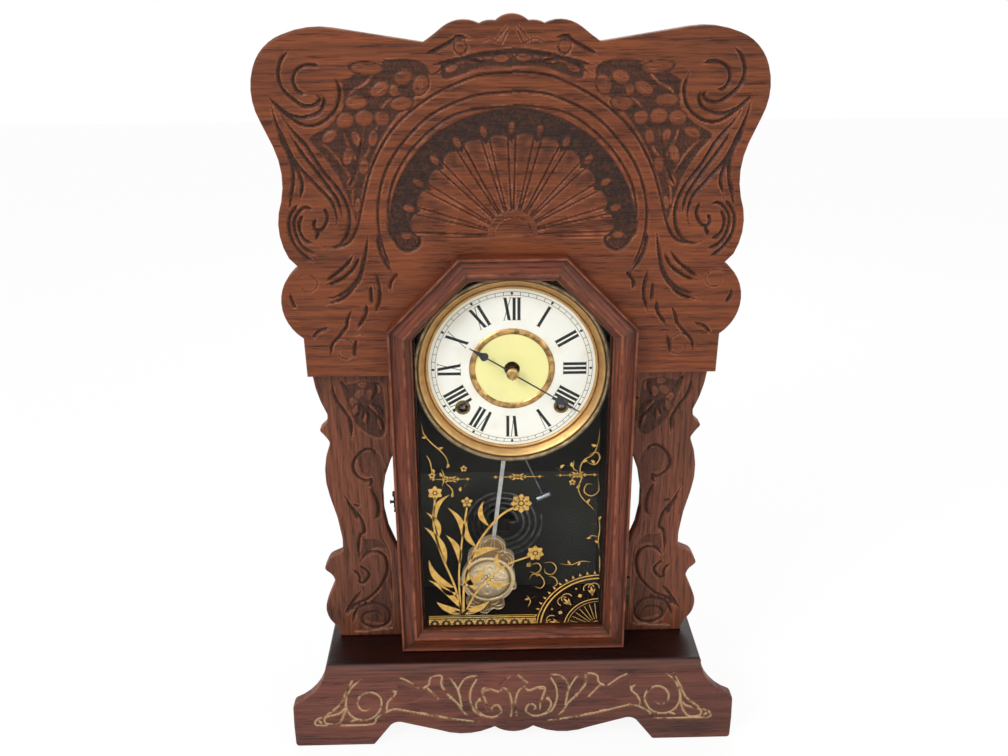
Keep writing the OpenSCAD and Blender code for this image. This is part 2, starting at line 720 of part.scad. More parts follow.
// Places of the arbors from the dial centre, seen from the front
centre_p = [0, 0];
time_main_p = [wind_x, -wind_drop];
strike_main_p = [-wind_x, -wind_drop];
time_second_p = meet(time_main_p, great_m * (great_n + second_pinion_n) / 2,
    centre_p, great_m * (second_n + centre_pinion_n) / 2, -1);
verge_p = [0, -hang_drop];
escape_p = verge_p + [-12, 14.5];
time_third_p = meet(centre_p, centre_m * (centre_n + fast_pinion_n) / 2,
    escape_p, third_m * (third_n + fast_pinion_n) / 2, -1);
minute_wheel_p = [0, motion_l];
strike_second_p = strike_main_p + polar(great_m * (great_n + second_pinion_n) / 2, -30);
pin_wheel_p = strike_second_p + polar(strike_m * (strike_second_n + pin_pinion_n) / 2, -5);
warning_p = pin_wheel_p + polar(fly_m * (pin_wheel_n + fly_pinion_n) / 2, 90);
fly_p = warning_p + polar(fly_m * (warning_n + fly_pinion_n) / 2, 120);
count_p = strike_second_p + polar(count_m * (count_n + count_pinion_n) / 2, 200);
hammer_p = [-4, -68];
pillar_ps = [[-36, 46], [36, 46], [-33, -70], [33, -70]];
plate_screw_ps = [[-48, 40], [48, 40], [-48, -58], [48, -58]];

// Layers behind the inner face of the front plate, and in front of its outer face
y_second = y_inner + 1.2;
y_second_pinion = y_inner + 2.8;
y_ratchet = y_inner + 3.8;
ratchet_t = 1.6;
y_great = y_inner + 5.6;
great_t = 1.6;
y_spring = y_inner + 8.6;
y_centre = y_inner + 14.6;
y_fast_pinion = y_inner + 12.1;
y_warning = y_inner + 21.6;
y_escape_pinion = y_back_plate - 4.5;
y_third = y_back_plate - 2.6;
y_outer_wheel = y_plate - 3.5;
outer_t = 1.2;
y_minute_wheel = y_plate - 7;
y_hour_wheel = y_plate - 11.3;

function toward(p, q) = atan2(q.y - p.y, q.x - p.x);

// Angle at which a wheel of nb teeth meets one of na teeth that is turned by pa, in the direction d
function mesh_phase(d, na, pa, nb) = d + 180 - 360 / nb * (0.5 - (d - pa) * na / 360);

// Outline of n pointed teeth: half widths are shares of the pitch at the root and half way up
function teeth(n, m, phase, add = 1, ded = 1.25, root = 0.24, mid = 0.155) =
    let (r0 = m * (n / 2 - ded), r1 = m * (n / 2 + 0.55 * add), r2 = m * (n / 2 + add), share = 180 * m)
    [for (i = [0 : n - 1]) let (a = phase + 360 * i / n) each [
        polar(r0, a - root * share / r0), polar(r1, a - mid * share / r1), polar(r2, a),
        polar(r1, a + mid * share / r1), polar(r0, a + root * share / r0)]];

// Opening between two arms of a wheel
function arm_window(r0, r1, a0, a1, arm) =
    let (s0 = asin(arm / r0), s1 = asin(arm / r1), n = 4)
    concat([for (k = [0 : n]) polar(r1, a0 + s1 + (a1 - a0 - 2 * s1) * k / n)],
        [for (k = [n : -1 : 0]) polar(r0, a0 + s0 + (a1 - a0 - 2 * s0) * k / n)]);

// Toothed brass wheel at the place p, with arms when hub is less than the rim
module wheel(p, y, t, outline, rim, hub, arms) {
    slab(y, t) translate([p.x, z_dial + p.y]) difference() {
        polygon(outline);
        for (k = [0 : arms - 1]) polygon(arm_window(hub, rim, 360 * k / arms, 360 * (k + 1) / arms, 1.3));
    }
}

// Pinion of round trundles between two discs
module lantern(p, y0, y1, n, m, phase) {
    trundle = 0.2 * PI * m;
    disc = 0.5;
    for (y = [y0, y1 - disc])
        round_bar(p.x, z_dial + p.y, y, y + disc, m * n / 2 + trundle + 0.3);
    for (k = [0 : n - 1]) {
        c = p + polar(m * n / 2, phase + 360 * k / n);
        round_bar(c.x, z_dial + c.y, y0, y1, trundle, $fn = 16);
    }
}

// Arbor between the plates, with its two pivots
module arbor(p, front = pivot_r) {
    end_shake = 0.2;
    round_bar(p.x, z_dial + p.y, y_inner + end_shake, y_back_plate - end_shake, arbor_r, $fn = 32);
    round_bar(p.x, z_dial + p.y, y_back_plate - 1, y_plate_back, pivot_r, $fn = 32);
    round_bar(p.x, z_dial + p.y, y_plate, y_inner + 1, front, $fn = 32);
}
module bore_at(p, r) {
    round_bar(p.x, z_dial + p.y, y_front, y_back, r, $fn = 32);
}
brass = "#b8924e";
steel = "#6e7074";

// Phases, worked out from wheel to wheel so that every tooth stands in its gap
second_pinion_phase = mesh_phase(toward(time_main_p, time_second_p), great_n, 0, second_pinion_n);
centre_pinion_phase = mesh_phase(toward(time_second_p, centre_p), second_n, 0, centre_pinion_n);
third_pinion_phase = mesh_phase(toward(centre_p, time_third_p), centre_n, 0, fast_pinion_n);
escape_pinion_phase = mesh_phase(toward(time_third_p, escape_p), third_n, 0, fast_pinion_n);
minute_wheel_phase = mesh_phase(90, cannon_n, 0, minute_n);
hour_wheel_phase = mesh_phase(-90, minute_pinion_n, 0, hour_n);
strike_pinion_phase = mesh_phase(toward(strike_main_p, strike_second_p), great_n, 0, second_pinion_n);
pin_pinion_phase = mesh_phase(toward(strike_second_p, pin_wheel_p), strike_second_n, 0, pin_pinion_n);
warning_pinion_phase = mesh_phase(toward(pin_wheel_p, warning_p), pin_wheel_n, 0, fly_pinion_n);
fly_pinion_phase = mesh_phase(toward(warning_p, fly_p), warning_n, 0, fly_pinion_n);
count_phase = mesh_phase(toward(strike_second_p, count_p), count_pinion_n, 0, count_n);

module centre_wheel() {
    color(brass) {
        wheel(centre_p, y_centre, wheel_t, teeth(centre_n, centre_m, 0), 15, 4.5, 4);
        lantern(centre_p, y_inner + 0.2, y_inner + 3.2, centre_pinion_n, great_m, centre_pinion_phase);
        slab(y_minute_wheel - 0.4, 3) translate([0, z_dial])
            polygon(teeth(cannon_n, motion_m, 0, 0.75, 1.1, 0.23, 0.14));
    }
    color(steel) {
        round_bar(0, z_dial, y_minute - nut_t + 0.3, y_back_plate - 0.2, centre_r);
        round_bar(0, z_dial, y_back_plate - 1, y_plate_back, pivot_r, $fn = 32);
    }
}

module minute_wheel() {
    color(brass) difference() {
        union() {
            wheel(minute_wheel_p, y_minute_wheel, outer_t,
                teeth(minute_n, motion_m, minute_wheel_phase, 0.75, 1.1, 0.23, 0.14), 6.2, 3.4, 3);
            slab(y_hour_wheel - 0.4, y_minute_wheel - y_hour_wheel + 0.4)
                translate([minute_wheel_p.x, z_dial + minute_wheel_p.y])
                    polygon(teeth(minute_pinion_n, hour_m, 0, 0.75, 1.1, 0.23, 0.14));
        }
        bore_at(minute_wheel_p, stud_r + pivot_gap);
    }
}

module hour_wheel() {
    color(brass) difference() {
        union() {
            wheel(centre_p, y_hour_wheel, outer_t,
                teeth(hour_n, hour_m, hour_wheel_phase, 0.75, 1.1, 0.23, 0.14), 7, 4.4, 3);
            round_bar(0, z_dial, y_hour + hand_t, y_hour_wheel + outer_t, pipe_r);
            round_bar(0, z_dial, y_hour - 0.3, y_hour + hand_t, pipe_r - 0.8);
        }
        bore_at(centre_p, centre_r + pipe_fit);
    }
}

module time_second_wheel() {
    color(brass) {
        wheel(time_second_p, y_second, wheel_t, teeth(second_n, great_m, 0), 13, 4, 4);
        lantern(time_second_p, y_second_pinion, y_second_pinion + 6, second_pinion_n, great_m,
            second_pinion_phase);
    }
    color(steel) arbor(time_second_p);
}

module time_third_wheel() {
    color(brass) {
        wheel(time_third_p, y_third, wheel_t, teeth(third_n, third_m, 0), 14, 4, 4);
        lantern(time_third_p, y_fast_pinion, y_fast_pinion + 6, fast_pinion_n, centre_m, third_pinion_phase);
    }
    color(steel) arbor(time_third_p);
}

// The escape wheel turns in front of the front plate; its teeth lean forward
module escape_wheel() {
    tooth = [for (k = [0 : escape_n - 1]) let (a = 360 * k / escape_n, s = 360 / escape_n) each [
        polar(escape_r - 1.8, a), polar(escape_r, a + 0.42 * s), polar(escape_r, a + 0.5 * s),
        polar(escape_r - 1.8, a + 0.62 * s)]];
    color(brass) {
        wheel(escape_p, y_outer_wheel, outer_t, tooth, 8.4, 3.2, 4);
        lantern(escape_p, y_escape_pinion, y_escape_pinion + 4.1, fast_pinion_n, third_m, escape_pinion_phase);
    }
    color(steel) {
        arbor(escape_p);
        round_bar(escape_p.x, z_dial + escape_p.y, y_outer_wheel, y_plate + 1, pivot_r, $fn = 32);
    }
}

// Great wheel with its click pin; it turns round the winding arbor
click_r = 13;
click_angle = 60;
ratchet_n = 16;
ratchet_r = 9.6;
click_pin_r = 0.8;
module great_wheel(p) {
    pin = p + polar(click_r, click_angle);
    color(brass) difference() {
        wheel(p, y_great, great_t, teeth(great_n, great_m, 0), 22.5, 16.5, 5);
        bore_at(p, wind_r + pivot_gap);
    }
    color(steel) round_bar(pin.x, z_dial + pin.y, y_ratchet - 0.3, y_great + great_t, click_pin_r, $fn = 24);
}
module time_main_wheel() great_wheel(time_main_p);
module strike_main_wheel() great_wheel(strike_main_p);

// Winding arbor with its key square in front and the ratchet against the great wheel
module winding_arbor(p) {
    square_w = 3.9;
    square_l = 6;
    y_tip = y_dial + 1.5;
    rear_r = 2;
    teeth_points = [for (k = [0 : ratchet_n - 1]) let (a = 360 * k / ratchet_n) each [
        polar(ratchet_r - 1.8, a), polar(ratchet_r, a + 2)]];
    color(steel) {
        bar(p.x - square_w / 2, p.x + square_w / 2, y_tip, y_tip + square_l + 1,
            z_dial + p.y - square_w / 2, z_dial + p.y + square_w / 2);
        round_bar(p.x, z_dial + p.y, y_tip + square_l, y_back_plate - 0.2, wind_r);
        round_bar(p.x, z_dial + p.y, y_back_plate - 1, y_plate_back, rear_r);
        slab(y_ratchet, ratchet_t) translate([p.x, z_dial + p.y]) polygon(teeth_points);
    }
}
module time_winding_arbor() winding_arbor(time_main_p);
module strike_winding_arbor() winding_arbor(strike_main_p);

// Click: an arm from its pin that lies just off the ratchet teeth
click_gap = 0.35;
module click(p) {
    pin = p + polar(click_r, click_angle);
    tip = p + polar(ratchet_r + click_gap + 0.3, click_angle - 34);
    arm = tip - pin;
    n = [-arm.y, arm.x] / norm(arm);
    color(steel) difference() {
        union() {
            round_bar(pin.x, z_dial + pin.y, y_ratchet, y_ratchet + ratchet_t, 2, $fn = 32);
            slab(y_ratchet, ratchet_t) translate([0, z_dial])
                polygon([pin + 1.9 * n, tip + 0.7 * n, tip - 0.05 * n, pin - 1.2 * n]);
        }
        bore_at(pin, click_pin_r + pivot_gap);
    }
}
module time_click() click(time_main_p);
module strike_click() click(strike_main_p);

module strike_second_wheel() {
    color(brass) {
        wheel(strike_second_p, y_second, wheel_t, teeth(strike_second_n, strike_m, 0), 13.5, 4, 4);
        lantern(strike_second_p, y_second_pinion, y_second_pinion + 6, second_pinion_n, great_m,
            strike_pinion_phase);
        slab(y_outer_wheel, outer_t) translate([strike_second_p.x, z_dial + strike_second_p.y])
            polygon(teeth(count_pinion_n, count_m, 0, 0.75, 1.1, 0.23, 0.14));
    }
    color(steel) {
        arbor(strike_second_p, 1);
        round_bar(strike_second_p.x, z_dial + strike_second_p.y, y_outer_wheel, y_plate + 1, 1, $fn = 32);
    }
}

// Wheel whose pins lift the hammer
pin_ring_r = 9.5;
pin_n = 4;
module strike_pin_wheel() {
    color(brass) {
        wheel(pin_wheel_p, y_centre, wheel_t, teeth(pin_wheel_n, fly_m, 0), 11.8, 3, 4);
        lantern(pin_wheel_p, y_inner + 0.2, y_inner + 3.2, pin_pinion_n, strike_m, pin_pinion_phase);
    }
    color(steel) {
        arbor(pin_wheel_p);
        for (k = [0 : pin_n - 1]) {
            c = pin_wheel_p + polar(pin_ring_r, 360 * k / pin_n);
            round_bar(c.x, z_dial + c.y, y_spring, y_centre + wheel_t, 0.8, $fn = 24);
        }
    }
}

module warning_wheel() {
    color(brass) {
        wheel(warning_p, y_warning, wheel_t, teeth(warning_n, fly_m, 0), 10, 3, 4);
        lantern(warning_p, y_fast_pinion, y_fast_pinion + 6, fly_pinion_n, fly_m, warning_pinion_phase);
    }
    color(steel) arbor(warning_p);
}

module strike_fly() {
    blade = 9;
    color(brass) {
        lantern(fly_p, y_warning - 2, y_warning + 3, fly_pinion_n, fly_m, fly_pinion_phase);
        translate([fly_p.x, 0, z_dial + fly_p.y]) rotate([0, 25, 0])
            bar(-blade, blade, y_inner + 3.1, y_inner + 13.1, -0.4, 0.4);
    }
    color(steel) arbor(fly_p);
}

// Count wheel: ninety teeth for the blows of twelve hours and the single blow of each half hour,
// and a disc with a notch wherever the striking stops
function blows_before(h) = h <= 1 ? 0 : blows_before(h - 1) + h;
module count_wheel() {
    disc_r = 16;
    notch = 2.2;
    blow = 360 / count_n;
    color(brass) difference() {
        union() {
            wheel(count_p, y_outer_wheel, outer_t,
                teeth(count_n, count_m, count_phase, 0.75, 1.1, 0.23, 0.14), 12.4, 4, 4);
            slab(y_outer_wheel - 1, 1) translate([count_p.x, z_dial + count_p.y]) difference() {
                circle(r = disc_r, $fn = 72);
                circle(r = disc_r - 3, $fn = 72);
                for (h = [1 : 12]) rotate(blow * blows_before(h))
                    translate([disc_r - notch, -0.45]) square([notch + 1, blow * disc_r * PI / 180 + 0.9]);
            }
        }
        bore_at(count_p, stud_r + pivot_gap);
    }
}

// Plates

stud_r = 0.9;
plate_half_w = 60;
plate_top = 52;
plate_foot = -64;
plate_low = -78;
plate_low_w = 30;
module plate(y) {
    slab(y, plate_t) translate([0, z_dial])
        polygon([[-plate_half_w, plate_top], [-plate_half_w, plate_foot], [-plate_low_w, plate_low],
            [plate_low_w, plate_low], [plate_half_w, plate_foot], [plate_half_w, plate_top]]);
}
module pivot_holes() {
    for (p = [time_second_p, time_third_p, escape_p, pin_wheel_p, warning_p, fly_p, hammer_p])
        bore_at(p, pivot_r + pivot_gap);
}

cock_p = verge_p + [7.5, 8.5];
cock_y = y_plate - 10.4;
cock_h = 4;
strip_t = 0.3;
strip_w = 3;
y_rod = y_plate - 8;
module front_plate() {
    color(brass) {
        difference() {
            plate(y_plate);
            pivot_holes();
            bore_at(strike_second_p, 1 + pivot_gap);
            bore_at(centre_p, centre_r + pivot_gap);
            bore_at(time_main_p, wind_r + pivot_gap);
            bore_at(strike_main_p, wind_r + pivot_gap);
        }
        difference() {
            bar(verge_p.x - 2, cock_p.x + 2, cock_y, cock_y + 4,
                z_dial + cock_p.y - cock_h / 2, z_dial + cock_p.y + cock_h / 2);
            bar(verge_p.x - strip_t / 2 - seat_gap, verge_p.x + strip_t / 2 + seat_gap,
                y_rod - strip_w / 2 - seat_gap, y_rod + strip_w / 2 + seat_gap,
                z_dial + cock_p.y - cock_h, z_dial + cock_p.y);
        }
        round_bar(cock_p.x, z_dial + cock_p.y, cock_y + 4, y_plate, 1.8, $fn = 32);
    }
    color(steel) {
        round_bar(count_p.x, z_dial + count_p.y, y_outer_wheel - 1.4, y_plate, stud_r, $fn = 32);
        round_bar(minute_wheel_p.x, z_dial + minute_wheel_p.y, y_hour_wheel - 0.8, y_plate, stud_r, $fn = 32);
        round_bar(verge_p.x, z_dial + verge_p.y, y_outer_wheel - 0.6, y_plate, pivot_r, $fn = 32);
    }
}

screw_r = 1.4;
screw_rest = 6;
screw_l = y_board - y_back_plate - screw_rest;
module back_plate() {
    color(brass) difference() {
        plate(y_back_plate);
        pivot_holes();
        bore_at(strike_second_p, pivot_r + pivot_gap);
        bore_at(centre_p, pivot_r + pivot_gap);
        bore_at(time_main_p, 2 + pivot_gap);
        bore_at(strike_main_p, 2 + pivot_gap);
        for (p = plate_screw_ps) bore_at(p, screw_r + seat_gap);
    }
}

pillar_r = 2.5;
module plate_pillars() {
    color(steel) for (p = pillar_ps) round_bar(p.x, z_dial + p.y, y_inner, y_back_plate, pillar_r);
}

// Screws that hold the movement to its battens
module wood_screws() {
    color(steel) for (p = plate_screw_ps) turned(p.x, z_dial + p.y, 32)
        polygon([[0, y_back_plate - 1.4], [2, y_back_plate - 1.4], [3, y_back_plate - 0.4], [3, y_back_plate],
            [screw_r, y_back_plate], [screw_r, y_back_plate + screw_l - 2], [0, y_back_plate + screw_l]]);
}

// A ribbon along the points v, of thickness t
function ribbon(v, t) =
    let (n = len(v), side = [for (i = [0 : n - 1])
        let (d = v[min(i + 1, n - 1)] - v[max(i - 1, 0)]) t / 2 * [-d.y, d.x] / norm(d)])
    concat([for (i = [0 : n - 1]) v[i] + side[i]], [for (i = [n - 1 : -1 : 0]) v[i] - side[i]]);

// Spiral of the time mainspring: its outer end runs to a loop round the lower pillar
spring_turns = 7;
spring_inner = wind_r + 1;
spring_w = 18.5;
loop_r = pillar_r + 0.5;
function spring_path(c, pillar) =
    let (u = pillar - c, tilt = asin((spring_r - loop_r) / norm(u)), d = atan2(u.y, u.x) - tilt, steps = 18)
    concat([for (k = [0 : steps * spring_turns])
            let (f = k / (steps * spring_turns))
            c + polar(spring_inner + (spring_r - spring_inner) * f, d + 90 + 360 * spring_turns * (1 - f))],
        [for (k = [0 : 12]) pillar + polar(loop_r, d + 90 - 300 * k / 12)]);
module mainsprings() {
    path = ribbon(spring_path(time_main_p, pillar_ps[3]), spring_t);
    color("#4a4c52") for (s = [-1, 1])
        slab(y_spring, spring_w) translate([0, z_dial]) scale([s, 1]) polygon(path);
}

// Pendulum, drawn hanging straight and turned about its bending point

z_hang = z_dial - hang_drop;
module swung() {
    translate([0, 0, z_hang]) rotate([0, swing_angle, 0]) translate([0, 0, -z_hang]) children();
}

// Verge with its two pallets and the crutch that embraces the rod
pallet_reach = 11.5;
pallet_spread = 53;
crutch_l = 18;
module verge_and_crutch() {
    to_wheel = toward(verge_p, escape_p);
    fork = rod_r + 0.4;
    color(steel) swung() difference() {
        union() {
            round_bar(0, z_hang, y_outer_wheel, y_outer_wheel + outer_t, 2);
            slab(y_outer_wheel, outer_t) translate([0, z_hang]) for (s = [-1, 1])
                let (a = to_wheel + s * pallet_spread, tip = polar(pallet_reach, a))
                    polygon([polar(1.8, a + 30), polar(1.8, a - 30),
                        tip + polar(0.7, a - 90), tip + polar(0.7, a + 90)]);
            bar(-0.6, 0.6, y_outer_wheel + 0.1, y_outer_wheel + 1.1, z_hang - crutch_l, z_hang - 1.6);
            difference() {
                bar(-fork - 1.2, fork + 1.2, y_rod - fork - 1.2, y_outer_wheel + 1.1,
                    z_hang - crutch_l - 1, z_hang - crutch_l);
                bar(-fork, fork, y_rod - fork, y_rod + fork + 0.6, z_hang - crutch_l - 2, z_hang - crutch_l + 1);
            }
        }
        round_bar(0, z_hang, y_front, y_back, pivot_r + pivot_gap, $fn = 32);
    }
}

clip_drop = 4;
clip_h = 5;
module suspension_spring() {
    lean = [-sin(swing_angle), -cos(swing_angle)];
    a = [0, z_dial + cock_p.y - seat_gap];
    b = [0, z_hang];
    c = b + lean * (clip_drop + clip_h / 2 - seat_gap);
    color("#8a8c90") slab(y_rod - strip_w / 2, strip_w) polygon(ribbon([a, b, c], strip_t));
}

rod_l = pendulum_l + 43;
module pendulum_rod() {
    color("#9a9ca0") swung() {
        difference() {
            bar(-1.5, 1.5, y_rod - 2.1, y_rod + 2.1, z_hang - clip_drop - clip_h, z_hang - clip_drop);
            bar(-strip_t / 2 - seat_gap, strip_t / 2 + seat_gap, y_rod - strip_w / 2 - seat_gap,
                y_rod + strip_w / 2 + seat_gap, z_hang - clip_drop - clip_h / 2, z_hang);
        }
        translate([0, y_rod, z_hang - rod_l]) cylinder(h = rod_l - clip_drop - clip_h, r = rod_r, $fn = 24);
        translate([0, y_rod, z_hang - rod_l + 1]) cylinder(h = 2.5, r = 3);
    }
}

// Right half of the bob's ornamental edge, from the top of its crown to its lower tip, for a disc
// of radius 24
bob_ref = 24;
bob_half = [
    [0, 43.5, 0.2], [8, 40, 0.3], [11.5, 33, -0.2], [12.5, 30.5, 0.45], [20.5, 21.5, 0.2], [19, 14.7, 0.183],
    [23.9, -2.2, 0.9], [22.7, -7.8, 0.135], [15.5, -18.3, -0.1], [17.5, -24, 0.6], [8.5, -29.5, -0.1],
    [5, -32.5, 0.4], [0, -35.5, 0]
];
module pendulum_bob() {
    k = bob_r / bob_ref;
    y0 = y_rod - bob_t / 2;
    color("#cdb98c") swung() difference() {
        union() {
            slab(y_rod - bob_t / 4, bob_t * 3 / 4) translate([0, z_hang - pendulum_l])
                polygon(both_halves(path_points(stretch(bob_half, k, k))));
            turned(0, z_hang - pendulum_l, 72) polygon(path_points([
                [0, y_rod + bob_t / 2, 0], [0, y0 + 0.8, -0.08], [bob_r - 5, y0 + 1.8, 0],
                [bob_r - 3.6, y0 + 1, -0.5], [bob_r - 1.2, y0 + 1.2, 0], [bob_r, y_rod, 0],
                [bob_r, y_rod + bob_t / 2, 0]]));
        }
        translate([0, y_rod, z_hang - rod_l]) cylinder(h = rod_l, r = rod_r + seat_gap, $fn = 24);
    }
}

// Gong and hammer

gong_p = [-7, gong_rise + base_h];
y_gong = y_back_plate - 2;
hub = 12;
bend = 3.5;
gong_rings = 24;
function gong_spiral(f) = polar(gong_inner + (gong_r - gong_inner) * f, 14 + 360 * gong_turns * f);
gong_path = concat(
    [[hub / 2, 0], [gong_inner - bend - 1.5, 0]],
    [for (k = [0 : 3]) [gong_inner - bend, bend] + polar(bend, -90 + 26 * k)],
    [for (k = [1 : gong_rings * gong_turns]) gong_spiral(k / (gong_rings * gong_turns))]);

// Sides of the tube round the point i of a flat path
function tube_ring(v, i, r) =
    let (n = len(v), d = v[min(i + 1, n - 1)] - v[max(i - 1, 0)], u = [-d.y, d.x] / norm(d))
    [for (k = [0 : 5]) [v[i].x + u.x * r * cos(60 * k), r * sin(60 * k), v[i].y + u.y * r * cos(60 * k)]];
// Least distance between parts of the path that lie more than half a turn apart, less the wire
gong_gap = min([for (i = [0 : len(gong_path) - 1]) for (j = [i + gong_rings / 2 : len(gong_path) - 1])
    norm(gong_path[i] - gong_path[j])]) - 2 * gong_wire;
echo(least_gap_between_gong_turns = gong_gap);
module gong_coil() {
    n = len(gong_path);
    points = [for (i = [0 : n - 1]) each tube_ring(gong_path, i, gong_wire)];
    sides = [for (i = [0 : n - 2]) for (k = [0 : 5])
        let (a = 6 * i + k, b = 6 * i + (k + 1) % 6) each [[a, b, b + 6], [a, b + 6, a + 6]]];
    ends = [for (k = [1 : 4]) each [[0, k + 1, k], [6 * n - 6, 6 * n - 6 + k, 6 * n - 5 + k]]];
    color("#7a7c80") translate([gong_p.x, y_gong, gong_p.y])
        polyhedron(points = points, faces = concat(sides, ends));
}
module gong_base() {
    color("#2c2a28") {
        turned(gong_p.x, gong_p.y) polygon([[0, y_gong], [4, y_gong], [4, y_board - 5], [12, y_board - 3],
            [12, y_board], [0, y_board]]);
        bar(gong_p.x - hub / 2, gong_p.x + hub / 2, y_gong - 4, y_gong + 4,
            gong_p.y - hub / 2, gong_p.y + hub / 2);
    }
}

// Hammer: a tail at the pins, and a wire down to the head beside the gong
hammer_wire_r = 0.7;
module strike_hammer() {
    top = [hammer_p.x, z_dial + hammer_p.y];
    head = [gong_p.x + gong_r + 1.2, gong_p.y + 26.5];
    tail = toward(hammer_p, pin_wheel_p);
    tail_l = norm(pin_wheel_p - hammer_p) - pin_ring_r - 1.7;
    color(steel) {
        arbor(hammer_p);
        slab(y_spring + 0.5, 3) translate(top)
            polygon([polar(1, tail + 90), polar(1, tail - 90), polar(tail_l, tail - 4), polar(tail_l, tail + 4)]);
        round_bar(top.x, top.y, y_gong - 1.5, y_gong + 1.5, 2);
        wire(top, head, y_gong, hammer_wire_r);
    }
    color("#a8935c") translate([head.x, y_gong, head.y])
        rotate([0, -toward(top, head), 0]) translate([0, 0, -hammer_l / 2])
            cylinder(h = hammer_l, r = hammer_r);
}

base_top_board();
base_apron();
base_side_boards();
glue_blocks();
case_side_left();
case_side_right();
case_top_board();
back_board();
crest_board();
wing_left();
wing_right();
mounting_blocks();
door_stile_left();
door_stile_right();
door_bottom_rail();
door_top_rail();
door_shoulder_rails();
door_glass();
glass_beads();
hinge_case_leaves();
hinge_door_leaves();
door_catch_pin();
door_hook();
hook_screw();
dial_plate();
dial_bezel();
dial_ring();
winding_grommets();
minute_hand();
hour_hand();
hand_nut();
front_plate();
back_plate();
plate_pillars();
wood_screws();
centre_wheel();
minute_wheel();
hour_wheel();
time_second_wheel();
time_main_wheel();
time_third_wheel();
escape_wheel();
time_winding_arbor();
time_click();
strike_main_wheel();
strike_second_wheel();
strike_pin_wheel();
warning_wheel();
strike_fly();
count_wheel();
strike_winding_arbor();
strike_click();
mainsprings();
verge_and_crutch();
suspension_spring();
pendulum_rod();
pendulum_bob();
gong_coil();
gong_base();
strike_hammer();
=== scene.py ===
"""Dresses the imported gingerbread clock: its carved oak, brass, dial, gilt glass, bob, light and camera."""
from __future__ import annotations

import logging
import math
from dataclasses import dataclass, replace
from enum import Enum
from typing import Callable, Iterable, Sequence

import bpy
import numpy as np
from mathutils import Matrix, Vector
from mathutils.geometry import delaunay_2d_cdt

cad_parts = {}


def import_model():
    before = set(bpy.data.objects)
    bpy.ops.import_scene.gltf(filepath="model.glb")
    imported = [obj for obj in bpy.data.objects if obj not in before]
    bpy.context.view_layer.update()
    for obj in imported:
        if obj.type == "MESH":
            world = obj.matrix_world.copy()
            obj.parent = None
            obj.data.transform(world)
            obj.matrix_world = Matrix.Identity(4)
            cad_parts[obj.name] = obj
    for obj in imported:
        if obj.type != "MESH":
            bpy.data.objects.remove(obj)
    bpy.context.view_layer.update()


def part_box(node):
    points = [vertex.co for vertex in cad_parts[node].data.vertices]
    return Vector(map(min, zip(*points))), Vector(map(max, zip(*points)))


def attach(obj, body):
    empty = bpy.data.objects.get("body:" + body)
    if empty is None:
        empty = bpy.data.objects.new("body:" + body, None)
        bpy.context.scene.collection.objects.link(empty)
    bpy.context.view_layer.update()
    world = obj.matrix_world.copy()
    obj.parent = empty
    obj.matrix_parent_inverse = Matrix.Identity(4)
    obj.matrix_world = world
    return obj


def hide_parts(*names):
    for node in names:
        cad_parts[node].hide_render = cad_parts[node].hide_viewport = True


log = logging.getLogger("clock")
MM = 0.001
Colour = tuple[float, float, float, float]
Points = np.ndarray


def screen(red: int, green: int, blue: int) -> Colour:
    """Linear colour of a colour written in screen values.

    Args:
        red: Red, from 0 to 255.
        green: Green, from 0 to 255.
        blue: Blue, from 0 to 255.

    Returns:
        The linear colour with an alpha of 1.
    """
    def linear(value: int) -> float:
        """One channel, in linear light."""
        share = value / 255
        return share / 12.92 if share <= 0.04045 else ((share + 0.055) / 1.055) ** 2.4
    return linear(red), linear(green), linear(blue), 1.0


OLD_WAX = screen(194, 166, 126)
SMOKE_TINT: Colour = (0.52, 0.6, 0.66, 1.0)
PORE_TINT: Colour = (0.42, 0.38, 0.36, 1.0)


# Shader graphs


class Kind(Enum):
    """Sockets that a shader node group may have."""

    NUMBER = "NodeSocketFloat"
    VECTOR = "NodeSocketVector"
    COLOUR = "NodeSocketColor"


